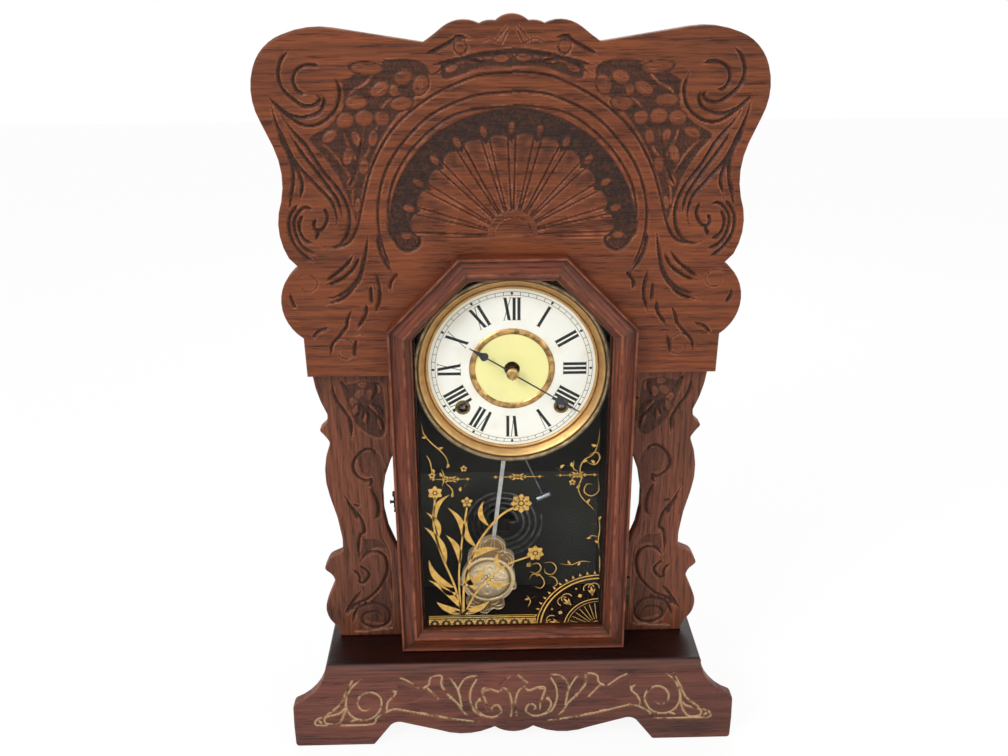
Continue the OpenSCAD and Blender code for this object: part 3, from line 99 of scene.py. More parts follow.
class Graph:
    """Makes and joins the nodes of one shader tree."""

    def __init__(self, tree: bpy.types.NodeTree) -> None:
        """Keeps the tree that the nodes go into."""
        self.tree = tree

    def node(self, kind: str, **settings: object) -> bpy.types.Node:
        """A new node of a kind, with its settings.

        Args:
            kind: Blender's name for the kind of node.
            **settings: Properties of the node.

        Returns:
            The node.
        """
        node = self.tree.nodes.new(kind)
        for name, value in settings.items():
            setattr(node, name, value)
        return node

    def feed(self, socket: bpy.types.NodeSocket, value: object) -> None:
        """Joins an output to an input, or writes a plain value there."""
        if isinstance(value, bpy.types.NodeSocket):
            self.tree.links.new(value, socket)
        elif value is not None:
            socket.default_value = value

    def math(self, operation: str, first: object, second: object = None,
             third: object = None, clamp: bool = False) -> bpy.types.NodeSocket:
        """Result of a sum on numbers."""
        node = self.node("ShaderNodeMath", operation=operation, use_clamp=clamp)
        for socket, value in zip(node.inputs, (first, second, third)):
            self.feed(socket, value)
        return node.outputs[0]

    def vector(self, operation: str, first: object, second: object = None) -> bpy.types.Node:
        """Node that works on vectors."""
        node = self.node("ShaderNodeVectorMath", operation=operation)
        self.feed(node.inputs[0], first)
        self.feed(node.inputs[1], second)
        return node

    def times(self, first: object, second: object) -> bpy.types.NodeSocket:
        """Product of two vectors, part by part."""
        return self.vector("MULTIPLY", first, second).outputs[0]

    def noise(self, place: object, scale: float, detail: float = 2.0) -> bpy.types.NodeSocket:
        """Smooth noise from 0 to 1, around a half."""
        node = self.node("ShaderNodeTexNoise")
        self.feed(node.inputs["Vector"], place)
        self.feed(node.inputs["Scale"], scale)
        self.feed(node.inputs["Detail"], detail)
        return node.outputs[0]

    def range(self, value: object, low: float, high: float, to_low: float = 0.0,
              to_high: float = 1.0) -> bpy.types.NodeSocket:
        """Value moved from one range to another, and held there."""
        node = self.node("ShaderNodeMapRange")
        for socket, item in zip(node.inputs, (value, low, high, to_low, to_high)):
            self.feed(socket, item)
        return node.outputs[0]

    def blend(self, share: object, first: object, second: object,
              how: str = "MIX") -> bpy.types.NodeSocket:
        """Mix of two colours."""
        node = self.node("ShaderNodeMix", data_type="RGBA", blend_type=how)
        self.feed(node.inputs[0], share)
        self.feed(node.inputs[6], first)
        self.feed(node.inputs[7], second)
        return node.outputs[2]

    def parts(self, place: object) -> bpy.types.NodeOutputs:
        """The x, y and z of a vector."""
        node = self.node("ShaderNodeSeparateXYZ")
        self.feed(node.inputs[0], place)
        return node.outputs

    def join(self, x: object, y: object, z: object) -> bpy.types.NodeSocket:
        """Vector made of three numbers."""
        node = self.node("ShaderNodeCombineXYZ")
        for socket, value in zip(node.inputs, (x, y, z)):
            self.feed(socket, value)
        return node.outputs[0]

    def mark(self, name: str) -> bpy.types.NodeSocket:
        """Number that the mesh carries under a name."""
        return self.node("ShaderNodeAttribute", attribute_name=name).outputs["Fac"]

    def place(self) -> bpy.types.NodeSocket:
        """Place on the object, in metres."""
        return self.node("ShaderNodeTexCoord").outputs["Object"]

    def look(self) -> bpy.types.NodeSocket:
        """1 for the rays of the camera, of gloss and of glass, and 0 for the rest."""
        rays = self.node("ShaderNodeLightPath").outputs
        seen = self.math("MAXIMUM", rays["Is Camera Ray"], rays["Is Glossy Ray"])
        return self.math("MAXIMUM", seen, rays["Is Transmission Ray"])

    def mixed_surface(self, share: object, first: bpy.types.Node, second: bpy.types.Node) -> None:
        """Sends a mix of two shaders to the surface."""
        mix = self.node("ShaderNodeMixShader")
        for socket, value in zip(mix.inputs, (share, first.outputs[0], second.outputs[0])):
            self.feed(socket, value)
        self.feed(self.tree.nodes["Material Output"].inputs["Surface"], mix.outputs[0])

    def group(self, tree: bpy.types.NodeTree, values: dict[str, object]) -> bpy.types.NodeOutputs:
        """Outputs of a node group that is given its values."""
        node = self.node("ShaderNodeGroup", node_tree=tree)
        for name, value in values.items():
            self.feed(node.inputs[name], value)
        return node.outputs


class ShaderGroup:
    """A shader node group with named inputs and outputs, built once."""

    def __init__(self, name: str, inputs: dict[str, Kind], outputs: dict[str, Kind],
                 draw: Callable[[Graph, bpy.types.NodeOutputs, bpy.types.NodeInputs], None]) -> None:
        """Keeps what the group takes, what it gives and the function that draws it."""
        self.name, self.inputs, self.outputs, self.draw = name, inputs, outputs, draw

    def tree(self) -> bpy.types.NodeTree:
        """The group's tree, built at the first call."""
        found = bpy.data.node_groups.get(self.name)
        if found:
            return found
        tree = bpy.data.node_groups.new(self.name, "ShaderNodeTree")
        for way, sockets in (("INPUT", self.inputs), ("OUTPUT", self.outputs)):
            for name, kind in sockets.items():
                tree.interface.new_socket(name, in_out=way, socket_type=kind.value)
        graph = Graph(tree)
        entry, leave = graph.node("NodeGroupInput"), graph.node("NodeGroupOutput")
        self.draw(graph, entry.outputs, leave.inputs)
        return tree


def draw_grain(graph: Graph, given: bpy.types.NodeOutputs, result: bpy.types.NodeInputs) -> None:
    """Growth rings, fine streaks and pores of oak, drawn along the x of the turned place."""
    turn = graph.node("ShaderNodeVectorRotate", rotation_type="EULER_XYZ")
    graph.feed(turn.inputs["Vector"], given["Place"])
    graph.feed(turn.inputs["Rotation"], given["Turn"])
    from_heart = graph.vector("SUBTRACT", turn.outputs[0], given["Heart"]).outputs[0]
    seed = given["Seed"]
    own = graph.vector("ADD", from_heart, graph.join(seed, seed, seed)).outputs[0]

    def along(stretch: float, scale: float, detail: float = 2.0) -> bpy.types.NodeSocket:
        """Noise drawn out along the grain."""
        return graph.noise(graph.times(own, (stretch, 1, 1)), scale, detail)

    _, y, z = graph.parts(from_heart)
    radius = graph.vector("LENGTH", graph.join(0.0, y, z)).outputs["Value"]
    warp = graph.math("MULTIPLY", graph.math("SUBTRACT", along(0.3, 11), 0.5), 0.05)
    ripple = graph.math("MULTIPLY", graph.math("SUBTRACT", along(0.1, 85, 3), 0.5), 0.009)
    radius = graph.math("ADD", graph.math("ADD", radius, warp), ripple)
    phase = graph.math("DIVIDE", radius, graph.math("MULTIPLY", given["Rings"], MM / math.tau))
    band = graph.math("MULTIPLY_ADD", graph.math("SINE", phase), 0.5, 0.5)
    band = graph.math("POWER", band, 2.2)
    streak, blotch = along(0.03, 680, 3), along(0.25, 22, 3)
    pore = graph.range(along(0.06, 1050), 0.53, 0.64)
    pore = graph.math("MULTIPLY", pore, graph.math("MULTIPLY_ADD", band, 0.55, 0.45))
    shade = graph.math("MULTIPLY_ADD", streak, 2.2, -1.1)
    shade = graph.math("MULTIPLY_ADD", blotch, 1.0, graph.math("ADD", shade, -0.5))
    shade = graph.math("MULTIPLY_ADD", band, 0.45, shade)
    shade = graph.math("MULTIPLY_ADD", shade, given["Contrast"], 0.36, clamp=True)
    colour = graph.blend(shade, given["Light"], given["Dark"])
    depth = graph.math("MULTIPLY", pore, given["Pores"])
    dark = graph.blend(1.0, given["Dark"], PORE_TINT, "MULTIPLY")
    graph.feed(result["Color"], graph.blend(depth, colour, dark))
    graph.feed(result["Roughness"], graph.math("MULTIPLY_ADD", depth, 0.25, 0.0))
    height = graph.math("MULTIPLY_ADD", depth, -0.8, graph.math("MULTIPLY_ADD", band, -0.16, 1.0))
    graph.feed(result["Height"], height)


def draw_patina(graph: Graph, given: bpy.types.NodeOutputs, result: bpy.types.NodeInputs) -> None:
    """Age and painted light on a varnished board: smoke, dust with painted shade in the recesses, wear with painted
    highlight on the edges and lips, and pale wax left in the cuts.
    """
    place = given["Place"]
    smoke = graph.range(graph.noise(place, 9, 4), 0.36, 0.62)
    smoke = graph.math("MULTIPLY", smoke, given["Smoke"])
    colour = graph.blend(smoke, given["Color"], graph.blend(1.0, given["Color"], SMOKE_TINT, "MULTIPLY"))
    fleck = graph.noise(place, 420, 2)
    # Recesses darkened: dust, and painted shade in the hollows.
    dirt_and_shade = graph.math("MULTIPLY", given["Recess"], graph.range(fleck, 0.3, 0.6, 0.7, 1.0), clamp=True)
    colour = graph.blend(dirt_and_shade, colour, given["Grime and shade"])
    # Edges and the lips of the cuts lightened: wear, and painted highlight.
    rubbed_and_highlit = graph.math("MULTIPLY", given["Wear and highlight"], graph.range(graph.noise(place, 75, 4), 0.4, 0.62))
    colour = graph.blend(rubbed_and_highlit, colour, given["Bare and highlight"])
    wax = graph.math("MULTIPLY", given["Wax"], graph.range(graph.noise(place, 130, 4), 0.34, 0.47))
    colour = graph.blend(wax, colour, OLD_WAX)
    graph.feed(result["Color"], colour)
    rough = graph.math("MULTIPLY_ADD", dirt_and_shade, 0.25, given["Roughness"])
    graph.feed(result["Roughness"], graph.math("MULTIPLY_ADD", wax, 0.25, rough, clamp=True))
    graph.feed(result["Height"], graph.math("MULTIPLY_ADD", wax, 0.6, given["Height"]))


def draw_tarnish(graph: Graph, given: bpy.types.NodeOutputs, result: bpy.types.NodeInputs) -> None:
    """Bright metal with dull clouds and small dark spots, darker where a recess is marked, as tarnish and painted
    shade.
    """
    cloud = graph.noise(given["Place"], given["Scale"], 5)
    cloud = graph.math("MULTIPLY", graph.range(cloud, 0.4, 0.65), given["Amount"])
    spot = graph.range(graph.noise(graph.times(given["Place"], (3.3, 3.3, 3.3)), given["Scale"], 3), 0.62, 0.7)
    dull = graph.math("MULTIPLY_ADD", spot, given["Amount"], cloud, clamp=True)
    # Clouds and spots are tarnish; the recess mark adds tarnish and painted shade.
    dirt_and_shade = graph.math("MAXIMUM", dull, given["Recess"])
    graph.feed(result["Color"], graph.blend(dirt_and_shade, given["Bright"], given["Dull"]))
    graph.feed(result["Roughness"], graph.math("MULTIPLY_ADD", dirt_and_shade, 0.22, given["Roughness"]))
    graph.feed(result["Height"], graph.math("MULTIPLY", dull, -1.0))


GRAIN = ShaderGroup(
    "Wood grain",
    {"Place": Kind.VECTOR, "Turn": Kind.VECTOR, "Heart": Kind.VECTOR, "Seed": Kind.NUMBER, "Light": Kind.COLOUR,
     "Dark": Kind.COLOUR, "Rings": Kind.NUMBER, "Contrast": Kind.NUMBER, "Pores": Kind.NUMBER},
    {"Color": Kind.COLOUR, "Roughness": Kind.NUMBER, "Height": Kind.NUMBER}, draw_grain)
PATINA = ShaderGroup(
    "Patina",
    {"Place": Kind.VECTOR, "Color": Kind.COLOUR, "Roughness": Kind.NUMBER, "Height": Kind.NUMBER,
     "Recess": Kind.NUMBER, "Wear and highlight": Kind.NUMBER, "Wax": Kind.NUMBER, "Smoke": Kind.NUMBER,
     "Grime and shade": Kind.COLOUR, "Bare and highlight": Kind.COLOUR},
    {"Color": Kind.COLOUR, "Roughness": Kind.NUMBER, "Height": Kind.NUMBER}, draw_patina)
TARNISH = ShaderGroup(
    "Tarnish",
    {"Place": Kind.VECTOR, "Bright": Kind.COLOUR, "Dull": Kind.COLOUR, "Amount": Kind.NUMBER,
     "Scale": Kind.NUMBER, "Roughness": Kind.NUMBER, "Recess": Kind.NUMBER},
    {"Color": Kind.COLOUR, "Roughness": Kind.NUMBER, "Height": Kind.NUMBER}, draw_tarnish)


# Finishes


class Grain(Enum):
    """Which way the grain of a board runs, as the turn that brings it to x."""

    ACROSS = (0.0, 0.0, 0.0)
    UPRIGHT = (0.0, math.pi / 2, 0.0)
    DEEP = (0.0, 0.0, math.pi / 2)
    SHOULDER = (0.0, math.radians(132.8), 0.0)


@dataclass(frozen=True)
class Finish:
    """What every finish has: a name, and a material that is made once."""

    name: str

    def material(self) -> bpy.types.Material:
        """The material of this finish."""
        found = bpy.data.materials.get(self.name)
        if found:
            return found
        made = bpy.data.materials.new(self.name)
        made.use_nodes = True
        graph = Graph(made.node_tree)
        shader = made.node_tree.nodes["Principled BSDF"]
        self.draw(graph, shader)
        made.diffuse_color = self.plain()
        return made

    def draw(self, graph: Graph, shader: bpy.types.Node) -> None:
        """Draws the shader of the finish."""
        raise NotImplementedError

    def plain(self) -> Colour:
        """Colour that stands for the finish in a plain view."""
        return 0.5, 0.5, 0.5, 1.0

    def bump(self, graph: Graph, shader: bpy.types.Node, height: object, strength: float, reach: float) -> None:
        """Gives the shader a bump from a height.

        Args:
            graph: Graph of the material.
            shader: Shader that takes the normal.
            height: Height, from 0 to 1.
            strength: Strength of the bump.
            reach: How many metres the height stands for.
        """
        node = graph.node("ShaderNodeBump")
        node.inputs["Strength"].default_value = strength
        node.inputs["Distance"].default_value = reach
        graph.feed(node.inputs["Height"], height)
        graph.feed(shader.inputs["Normal"], node.outputs[0])


@dataclass(frozen=True)
class Wood(Finish):
    """Stained and varnished oak, or plain softwood."""

    light: Colour = screen(122, 62, 46)
    dark: Colour = screen(62, 30, 23)
    # Colour of the recesses: dust, and painted shade.
    grime_and_shade: Colour = screen(66, 46, 35)
    # Colour of the edges and lips: wood showing through from wear, and painted highlight.
    bare_and_highlight: Colour = screen(166, 100, 70)
    run: Grain = Grain.ACROSS
    heart: tuple[float, float, float] = (0.0, 0.06, 0.47)
    seed: float = 0.0
    rings: float = 7.0
    contrast: float = 0.75
    pores: float = 0.7
    rough: float = 0.46
    varnish: float = 0.04
    smoke: float = 0.5
    smoke_from: float = -1.0
    smoke_to: float = -0.9
    relief: float = 0.00035
    mirrored: bool = False

    def plain(self) -> Colour:
        """Light colour of the wood."""
        return self.light

    def tones(self, graph: Graph, place: bpy.types.NodeSocket) -> tuple[object, object]:
        """Light and dark tone of the grain."""
        return self.light, self.dark

    def draw(self, graph: Graph, shader: bpy.types.Node) -> None:
        """Joins the grain and the patina."""
        place = graph.place()
        light, dark = self.tones(graph, place)
        if self.mirrored:
            x, y, z = graph.parts(place)
            place = graph.join(graph.math("ABSOLUTE", x), y, z)
        grain = graph.group(GRAIN.tree(), {
            "Place": place, "Turn": self.run.value, "Heart": self.heart, "Seed": self.seed, "Light": light,
            "Dark": dark, "Rings": self.rings, "Contrast": self.contrast, "Pores": self.pores})
        age = graph.group(PATINA.tree(), {
            "Place": place, "Color": grain["Color"], "Roughness": graph.math("ADD", grain["Roughness"], self.rough),
            "Height": grain["Height"], "Recess": graph.mark("recess"), "Wear and highlight": graph.mark("wear_and_highlight"),
            "Wax": graph.mark("wax"), "Grime and shade": self.grime_and_shade, "Bare and highlight": self.bare_and_highlight,
            "Smoke": graph.range(graph.parts(place)["Z"], self.smoke_from, self.smoke_to, 0.1, self.smoke)})
        graph.feed(shader.inputs["Base Color"], age["Color"])
        graph.feed(shader.inputs["Roughness"], age["Roughness"])
        self.bump(graph, shader, age["Height"], 1.0, self.relief)
        shader.inputs["Coat Weight"].default_value = self.varnish
        shader.inputs["Coat Roughness"].default_value = 0.22
        shader.inputs["Specular IOR Level"].default_value = 0.25


@dataclass(frozen=True)
class EdgedWood(Wood):
    """Wood whose top is coloured very dark, as a painted reflection of the dark case above it, and whose moulded edge
    below a level is lighter, as wear and painted light.
    """

    edge_light: Colour = screen(118, 70, 56)
    edge_dark: Colour = screen(74, 42, 34)
    level: float = 0.0888

    def tones(self, graph: Graph, place: bpy.types.NodeSocket) -> tuple[object, object]:
        """Edge tones below the level, top tones above it."""
        above = graph.range(graph.parts(place)["Z"], self.level - 0.0006, self.level)
        return graph.blend(above, self.edge_light, self.light), graph.blend(above, self.edge_dark, self.dark)


@dataclass(frozen=True)
class ShadedInsideWood(Wood):
    """Wood whose face towards the inside of the case is coloured near black, as painted shade."""

    # Painted shade on the inside faces.
    paint: Colour = screen(24, 20, 18)
    inner: float = 0.0865

    def tones(self, graph: Graph, place: bpy.types.NodeSocket) -> tuple[object, object]:
        """Painted shade inside the plane, wood outside it."""
        out = graph.range(graph.math("ABSOLUTE", graph.parts(place)["X"]), self.inner, self.inner + 0.0005)
        return graph.blend(out, self.paint, self.light), graph.blend(out, self.paint, self.dark)


@dataclass(frozen=True)
class Metal(Finish):
    """Uncoated metal with tarnish."""

    bright: Colour = screen(190, 150, 92)
    dull: Colour = screen(112, 82, 44)
    amount: float = 0.6
    scale: float = 130.0
    rough: float = 0.3
    relief: float = 0.00006
    press: float = 0.6
    metallic: float = 1.0

    def plain(self) -> Colour:
        """Colour of the bright metal."""
        return self.bright

    def draw(self, graph: Graph, shader: bpy.types.Node) -> None:
        """Joins the tarnish to a metal shader."""
        skin = graph.group(TARNISH.tree(), {
            "Place": graph.place(), "Bright": self.bright, "Dull": self.dull, "Amount": self.amount,
            "Scale": self.scale, "Roughness": self.rough, "Recess": graph.mark("recess")})
        graph.feed(shader.inputs["Base Color"], skin["Color"])
        graph.feed(shader.inputs["Roughness"], skin["Roughness"])
        self.bump(graph, shader, skin["Height"], self.press, self.relief)
        shader.inputs["Metallic"].default_value = self.metallic


@dataclass(frozen=True)
class Paint(Metal):
    """Flat paint, ink or gilding with faint wear."""

    amount: float = 0.4
    scale: float = 300.0
    rough: float = 0.5
    relief: float = 0.00005
    press: float = 0.4
    metallic: float = 0.0


@dataclass(frozen=True)
class ShadeSheet(Finish):
    """Dark sheet on the inside of the back, standing in for the shade inside the case, with a near-black painted shadow
    above a level line.
    """

    # Grey painted shade below the level, a near-black painted shadow above it.
    low: Colour = screen(58, 58, 54)
    high: Colour = screen(16, 15, 14)
    level: float = 0.212

    def draw(self, graph: Graph, shader: bpy.types.Node) -> None:
        """Changes from grey painted shade to a black painted shadow at the line."""
        place = graph.place()
        height = graph.parts(place)["Z"]
        cloud = graph.noise(place, 35, 4)
        share = graph.range(height, self.level - 0.0005, self.level + 0.0005)
        colour = graph.blend(share, self.low, self.high)
        colour = graph.blend(graph.range(cloud, 0.4, 0.75, 0.0, 0.2), colour, screen(70, 66, 58))
        graph.feed(shader.inputs["Base Color"], colour)
        graph.feed(shader.inputs["Roughness"], graph.range(cloud, 0.3, 0.7, 0.6, 0.8))
        self.bump(graph, shader, cloud, 0.3, 0.0003)


@dataclass(frozen=True)
class DialFace(Finish):
    """White enamel paint that yellows inside the brass ring."""

    outer: Colour = screen(255, 254, 246)
    inner: Colour = screen(255, 248, 172)
    stain: Colour = screen(226, 216, 178)
    ring: float = 0.0312
    height: float = 0.3425

    def plain(self) -> Colour:
        """Colour of the white paint."""
        return self.outer

    def draw(self, graph: Graph, shader: bpy.types.Node) -> None:
        """Paints by the distance from the middle of the dial."""
        place = graph.place()
        x, _, z = graph.parts(place)
        radius = graph.vector("LENGTH", graph.join(x, 0.0, graph.math("SUBTRACT", z, self.height))).outputs["Value"]
        colour = graph.blend(graph.range(radius, self.ring - 0.0004, self.ring + 0.0004), self.inner, self.outer)
        age = graph.range(graph.noise(place, 60, 5), 0.5, 0.72, 0.0, 0.25)
        rim = graph.range(radius, 0.058, 0.067, 0.0, 0.2)
        colour = graph.blend(graph.math("ADD", age, rim), colour, self.stain)
        graph.feed(shader.inputs["Base Color"], colour)
        graph.feed(shader.inputs["Roughness"], graph.range(graph.noise(place, 500, 2), 0.3, 0.7, 0.36, 0.5))
        shader.inputs["Specular IOR Level"].default_value = 0.35


@dataclass(frozen=True)
class Pane(Finish):
    """Thin clear glass that lets the light of the lamps through unbent."""

    tint: Colour = (0.985, 0.99, 0.985, 1.0)
    bend: float = 1.12

    def plain(self) -> Colour:
        """Colour of the clear glass."""
        return self.tint

    def draw(self, graph: Graph, shader: bpy.types.Node) -> None:
        """Glass for the eye, and a clear skin for light on its way to what lies behind."""
        shader.inputs["Base Color"].default_value = self.tint
        shader.inputs["Roughness"].default_value = 0.0
        shader.inputs["IOR"].default_value = self.bend
        shader.inputs["Transmission Weight"].default_value = 1.0
        clear = graph.node("ShaderNodeBsdfTransparent")
        clear.inputs[0].default_value = self.tint
        rays = graph.node("ShaderNodeLightPath").outputs
        graph.mixed_surface(graph.math("MAXIMUM", rays["Is Shadow Ray"], rays["Is Diffuse Ray"]), shader, clear)


@dataclass(frozen=True)
class Ground(Finish):
    """White floor that keeps the shadow, and looks white to the camera and in metal and glass."""

    base: Colour = (0.86, 0.86, 0.86, 1.0)
    glow: float = 1.03
    share: float = 0.88

    def draw(self, graph: Graph, shader: bpy.types.Node) -> None:
        """Adds some light of its own for the rays that only look."""
        shader.inputs["Base Color"].default_value = self.base
        shader.inputs["Roughness"].default_value = 0.9
        glow = graph.node("ShaderNodeEmission")
        glow.inputs["Strength"].default_value = self.glow
        graph.mixed_surface(graph.math("MULTIPLY", graph.look(), self.share), shader, glow)


# Where a wood below is given a third colour, it colours the recesses: dust, and painted shade.
CREST_OAK = Wood("Crest oak", screen(140, 73, 39), screen(74, 36, 21), screen(43, 29, 24), contrast=0.62,
                 heart=(0.0, 0.05, 0.455), smoke_from=0.40, smoke_to=0.60)
WING_OAK = Wood("Wing oak", screen(138, 78, 54), screen(78, 44, 31), screen(48, 31, 24), contrast=0.6,
                run=Grain.UPRIGHT, heart=(0.0, 0.07, 0.2), seed=3.1, rings=6.0)
APRON_OAK = Wood("Apron oak", screen(130, 74, 60), screen(78, 44, 36), heart=(0.0, 0.08, 0.02), seed=7.7)
SIDE_OAK = ShadedInsideWood("Cabinet oak", screen(112, 54, 34), screen(60, 28, 18), run=Grain.UPRIGHT,
                     heart=(0.0, 0.0, 0.0), seed=1.3)
DEEP_OAK = Wood("Side board oak", screen(112, 54, 34), screen(60, 28, 18), run=Grain.DEEP,
                heart=(0.0, 0.03, 0.1), seed=5.2)
DOOR_ACROSS = Wood("Door rail", screen(132, 64, 38), screen(70, 29, 17), heart=(0.0, 0.02, 0.02), seed=4.4,
                   rings=4.0, varnish=0.14, rough=0.4, smoke=0.3)
DOOR_UPRIGHT = replace(DOOR_ACROSS, name="Door stile", run=Grain.UPRIGHT, seed=2.4)
DOOR_SHOULDER = replace(DOOR_ACROSS, name="Door shoulder", run=Grain.SHOULDER, seed=6.1, mirrored=True)
# Top tones: a painted reflection of the dark case; edge tones: lighter, as wear and painted light.
PLINTH_OAK = EdgedWood("Plinth oak", screen(46, 14, 8), screen(20, 6, 4), heart=(0.0, -0.06, 0.3), seed=8.8,
                       varnish=0.2, rough=0.36, smoke=0.3, pores=0.4)
# Dark as painted shade, like the rest of the inside of the case.
BATTEN_PINE = Wood("Batten wood", screen(40, 33, 27), screen(24, 19, 16), run=Grain.UPRIGHT, seed=2.2,
                   varnish=0.0, smoke=0.2, pores=0.3)
BLOCK_PINE = Wood("Block wood", screen(170, 126, 78), screen(128, 86, 48), seed=9.4, varnish=0.0, rough=0.6,
                  pores=0.3, contrast=0.6)
BACK_PINE = Wood("Back wood", screen(134, 98, 62), screen(88, 58, 36), run=Grain.UPRIGHT, seed=5.5, varnish=0.0,
                 rough=0.6, rings=9.0, pores=0.3, smoke=0.9)
BEAD_OAK = Wood("Bead wood", screen(88, 42, 26), screen(48, 20, 13), seed=6.6, varnish=0.0)
BEZEL_BRASS = Metal("Bezel brass", screen(204, 164, 108), screen(128, 94, 54), 0.25, rough=0.46)
RIM_BRASS = Metal("Bezel rim brass", screen(158, 138, 106), screen(100, 86, 66), 0.7, rough=0.46)
GROMMET_BRASS = Metal("Grommet brass", screen(150, 126, 76), screen(66, 54, 34), 0.8, 300, 0.36)
RING_BRASS = Metal("Ring brass", screen(206, 164, 104), screen(104, 80, 50), 0.85, 220, 0.32)
PLATE_BRASS = Metal("Plate brass", screen(196, 158, 92), screen(120, 92, 50), 0.7, rough=0.32)
HOOK_BRASS = Metal("Hook metal", screen(58, 50, 40), screen(26, 22, 19), 0.9, rough=0.42)
HINGE_BRASS = Metal("Hinge brass", screen(84, 62, 40), screen(44, 33, 24), 0.8, rough=0.42)
NUT_BRASS = Metal("Nut brass", screen(196, 162, 104), screen(120, 94, 58), 0.8, 400)
STEEL = Metal("Steel", screen(150, 152, 156), screen(92, 88, 84), 0.6, rough=0.34)
ROD_STEEL = Metal("Rod steel", screen(196, 196, 192), screen(138, 134, 128), 0.4, rough=0.42)
GONG_STEEL = Metal("Gong steel", screen(120, 120, 122), screen(70, 66, 62), 0.7, rough=0.36)
HAND_STEEL = Metal("Hand steel", screen(72, 74, 80), screen(44, 44, 46), 0.4, rough=0.42)
HAMMER_STEEL = Metal("Hammer steel", screen(150, 158, 164), screen(84, 86, 90), 0.6, rough=0.4)
IRON = Metal("Cast iron", screen(58, 56, 54), screen(34, 32, 30), 0.8, rough=0.55)
BOB_METAL = Metal("Bob metal", screen(250, 226, 184), screen(150, 120, 80), 0.25, rough=0.34, metallic=0.35)
GILT = Paint("Gilding", screen(226, 178, 86), screen(120, 84, 34), 0.4, 260, 0.46, metallic=0.1)
TABLET_DARK = Paint("Tablet dark paint", screen(46, 38, 28), screen(90, 66, 34), 0.4, 260)
INK = Paint("Dial ink", screen(6, 6, 8), screen(32, 31, 29), 0.3, 500)
SHADE_SHEET = ShadeSheet("Painted shade sheet")
DIAL = DialFace("Dial paint")
GLASS = Pane("Tablet glass")
FLOOR = Ground("Floor")


# Making meshes


def numbers(text: str) -> Points:
    """Places written as x and z pairs, in millimetres."""
    return np.array(text.split(), float).reshape(-1, 2)


def polar(radius: object, angle: object) -> Points:
    """Places at a radius and an angle in radians, anticlockwise from x."""
    return np.stack([radius * np.cos(angle), radius * np.sin(angle)], -1)


def soft(value: Points) -> Points:
    """Smooth step of a value, from 0 at 0 to 1 at 1."""
    held = np.clip(value, 0, 1)
    return held * held * (3 - 2 * held)


def written(places: Iterable[Sequence[float]]) -> str:
    """Places as text, the way a cut takes them."""
    return " ".join(f"{x:.2f} {z:.2f}" for x, z in places)


def box(node: str) -> tuple[Vector, Vector]:
    """Lowest and highest corner of a CAD node, in millimetres."""
    low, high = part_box(node)
    return low / MM, high / MM


def area(ring: Points) -> float:
    """Area of a closed outline, above 0 if it runs anticlockwise."""
    after = np.roll(ring, -1, 0)
    return float((ring[:, 0] * after[:, 1] - ring[:, 1] * after[:, 0]).sum() / 2)


def spline(places: Points, each: int = 9) -> Points:
    """Smooth line through some places.

    Args:
        places: The places that it passes.
        each: Points on each stretch.

    Returns:
        The points of the line.
    """
    if len(places) < 3:
        return places
    ends = np.concatenate([[2 * places[0] - places[1]], places, [2 * places[-1] - places[-2]]])
    t = np.linspace(0, 1, each, endpoint=False)[:, None]
    pieces = []
    for i in range(1, len(ends) - 2):
        a, b, c, d = ends[i - 1:i + 3]
        pieces.append(0.5 * (2 * b + (c - a) * t + (2 * a - 5 * b + 4 * c - d) * t ** 2
                             + (3 * b - a - 3 * c + d) * t ** 3))
    return np.concatenate(pieces + [places[-1:]])


def near_line(at: Points, line: Points, block: int = 3000) -> tuple[Points, Points, Points]:
    """Where each place lies along a line of straight pieces.

    Args:
        at: The places.
        line: The points of the line.
        block: How many places are worked on together.

    Returns:
        The distance to the line, the share of its length there, and whether the place is on its left.
    """
    start, run = line[:-1], line[1:] - line[:-1]
    length = np.maximum(np.hypot(*run.T), 1e-9)
    before = np.concatenate([[0], np.cumsum(length)])
    found = []
    for first in range(0, len(at), block):
        away = at[first:first + block, None] - start
        t = np.clip((away * run).sum(2) / length ** 2, 0, 1)
        square = ((away - t[..., None] * run) ** 2).sum(2)
        best = square.argmin(1)
        rows = np.arange(len(best))
        side = run[best, 0] * away[rows, best, 1] - run[best, 1] * away[rows, best, 0]
        share = (before[best] + t[rows, best] * length[best]) / before[-1]
        found.append(np.stack([np.sqrt(square[rows, best]), share, side > 0]))
    distance, share, left = np.concatenate(found, 1)
    return distance, share, left.astype(bool)


def inside(at: Points, ring: Points) -> Points:
    """Whether each place lies in a closed outline."""
    x, z = at[:, 0][:, None], at[:, 1][:, None]
    a, b = ring, np.roll(ring, -1, 0)
    result = []
    for first in range(0, len(at), 4000):
        px, pz = x[first:first + 4000], z[first:first + 4000]
        over = (a[:, 1] > pz) != (b[:, 1] > pz)
        cross = px < (b[:, 0] - a[:, 0]) * (pz - a[:, 1]) / (b[:, 1] - a[:, 1] + 1e-12) + a[:, 0]
        result.append((over & cross).sum(1) % 2 == 1)
    return np.concatenate(result)


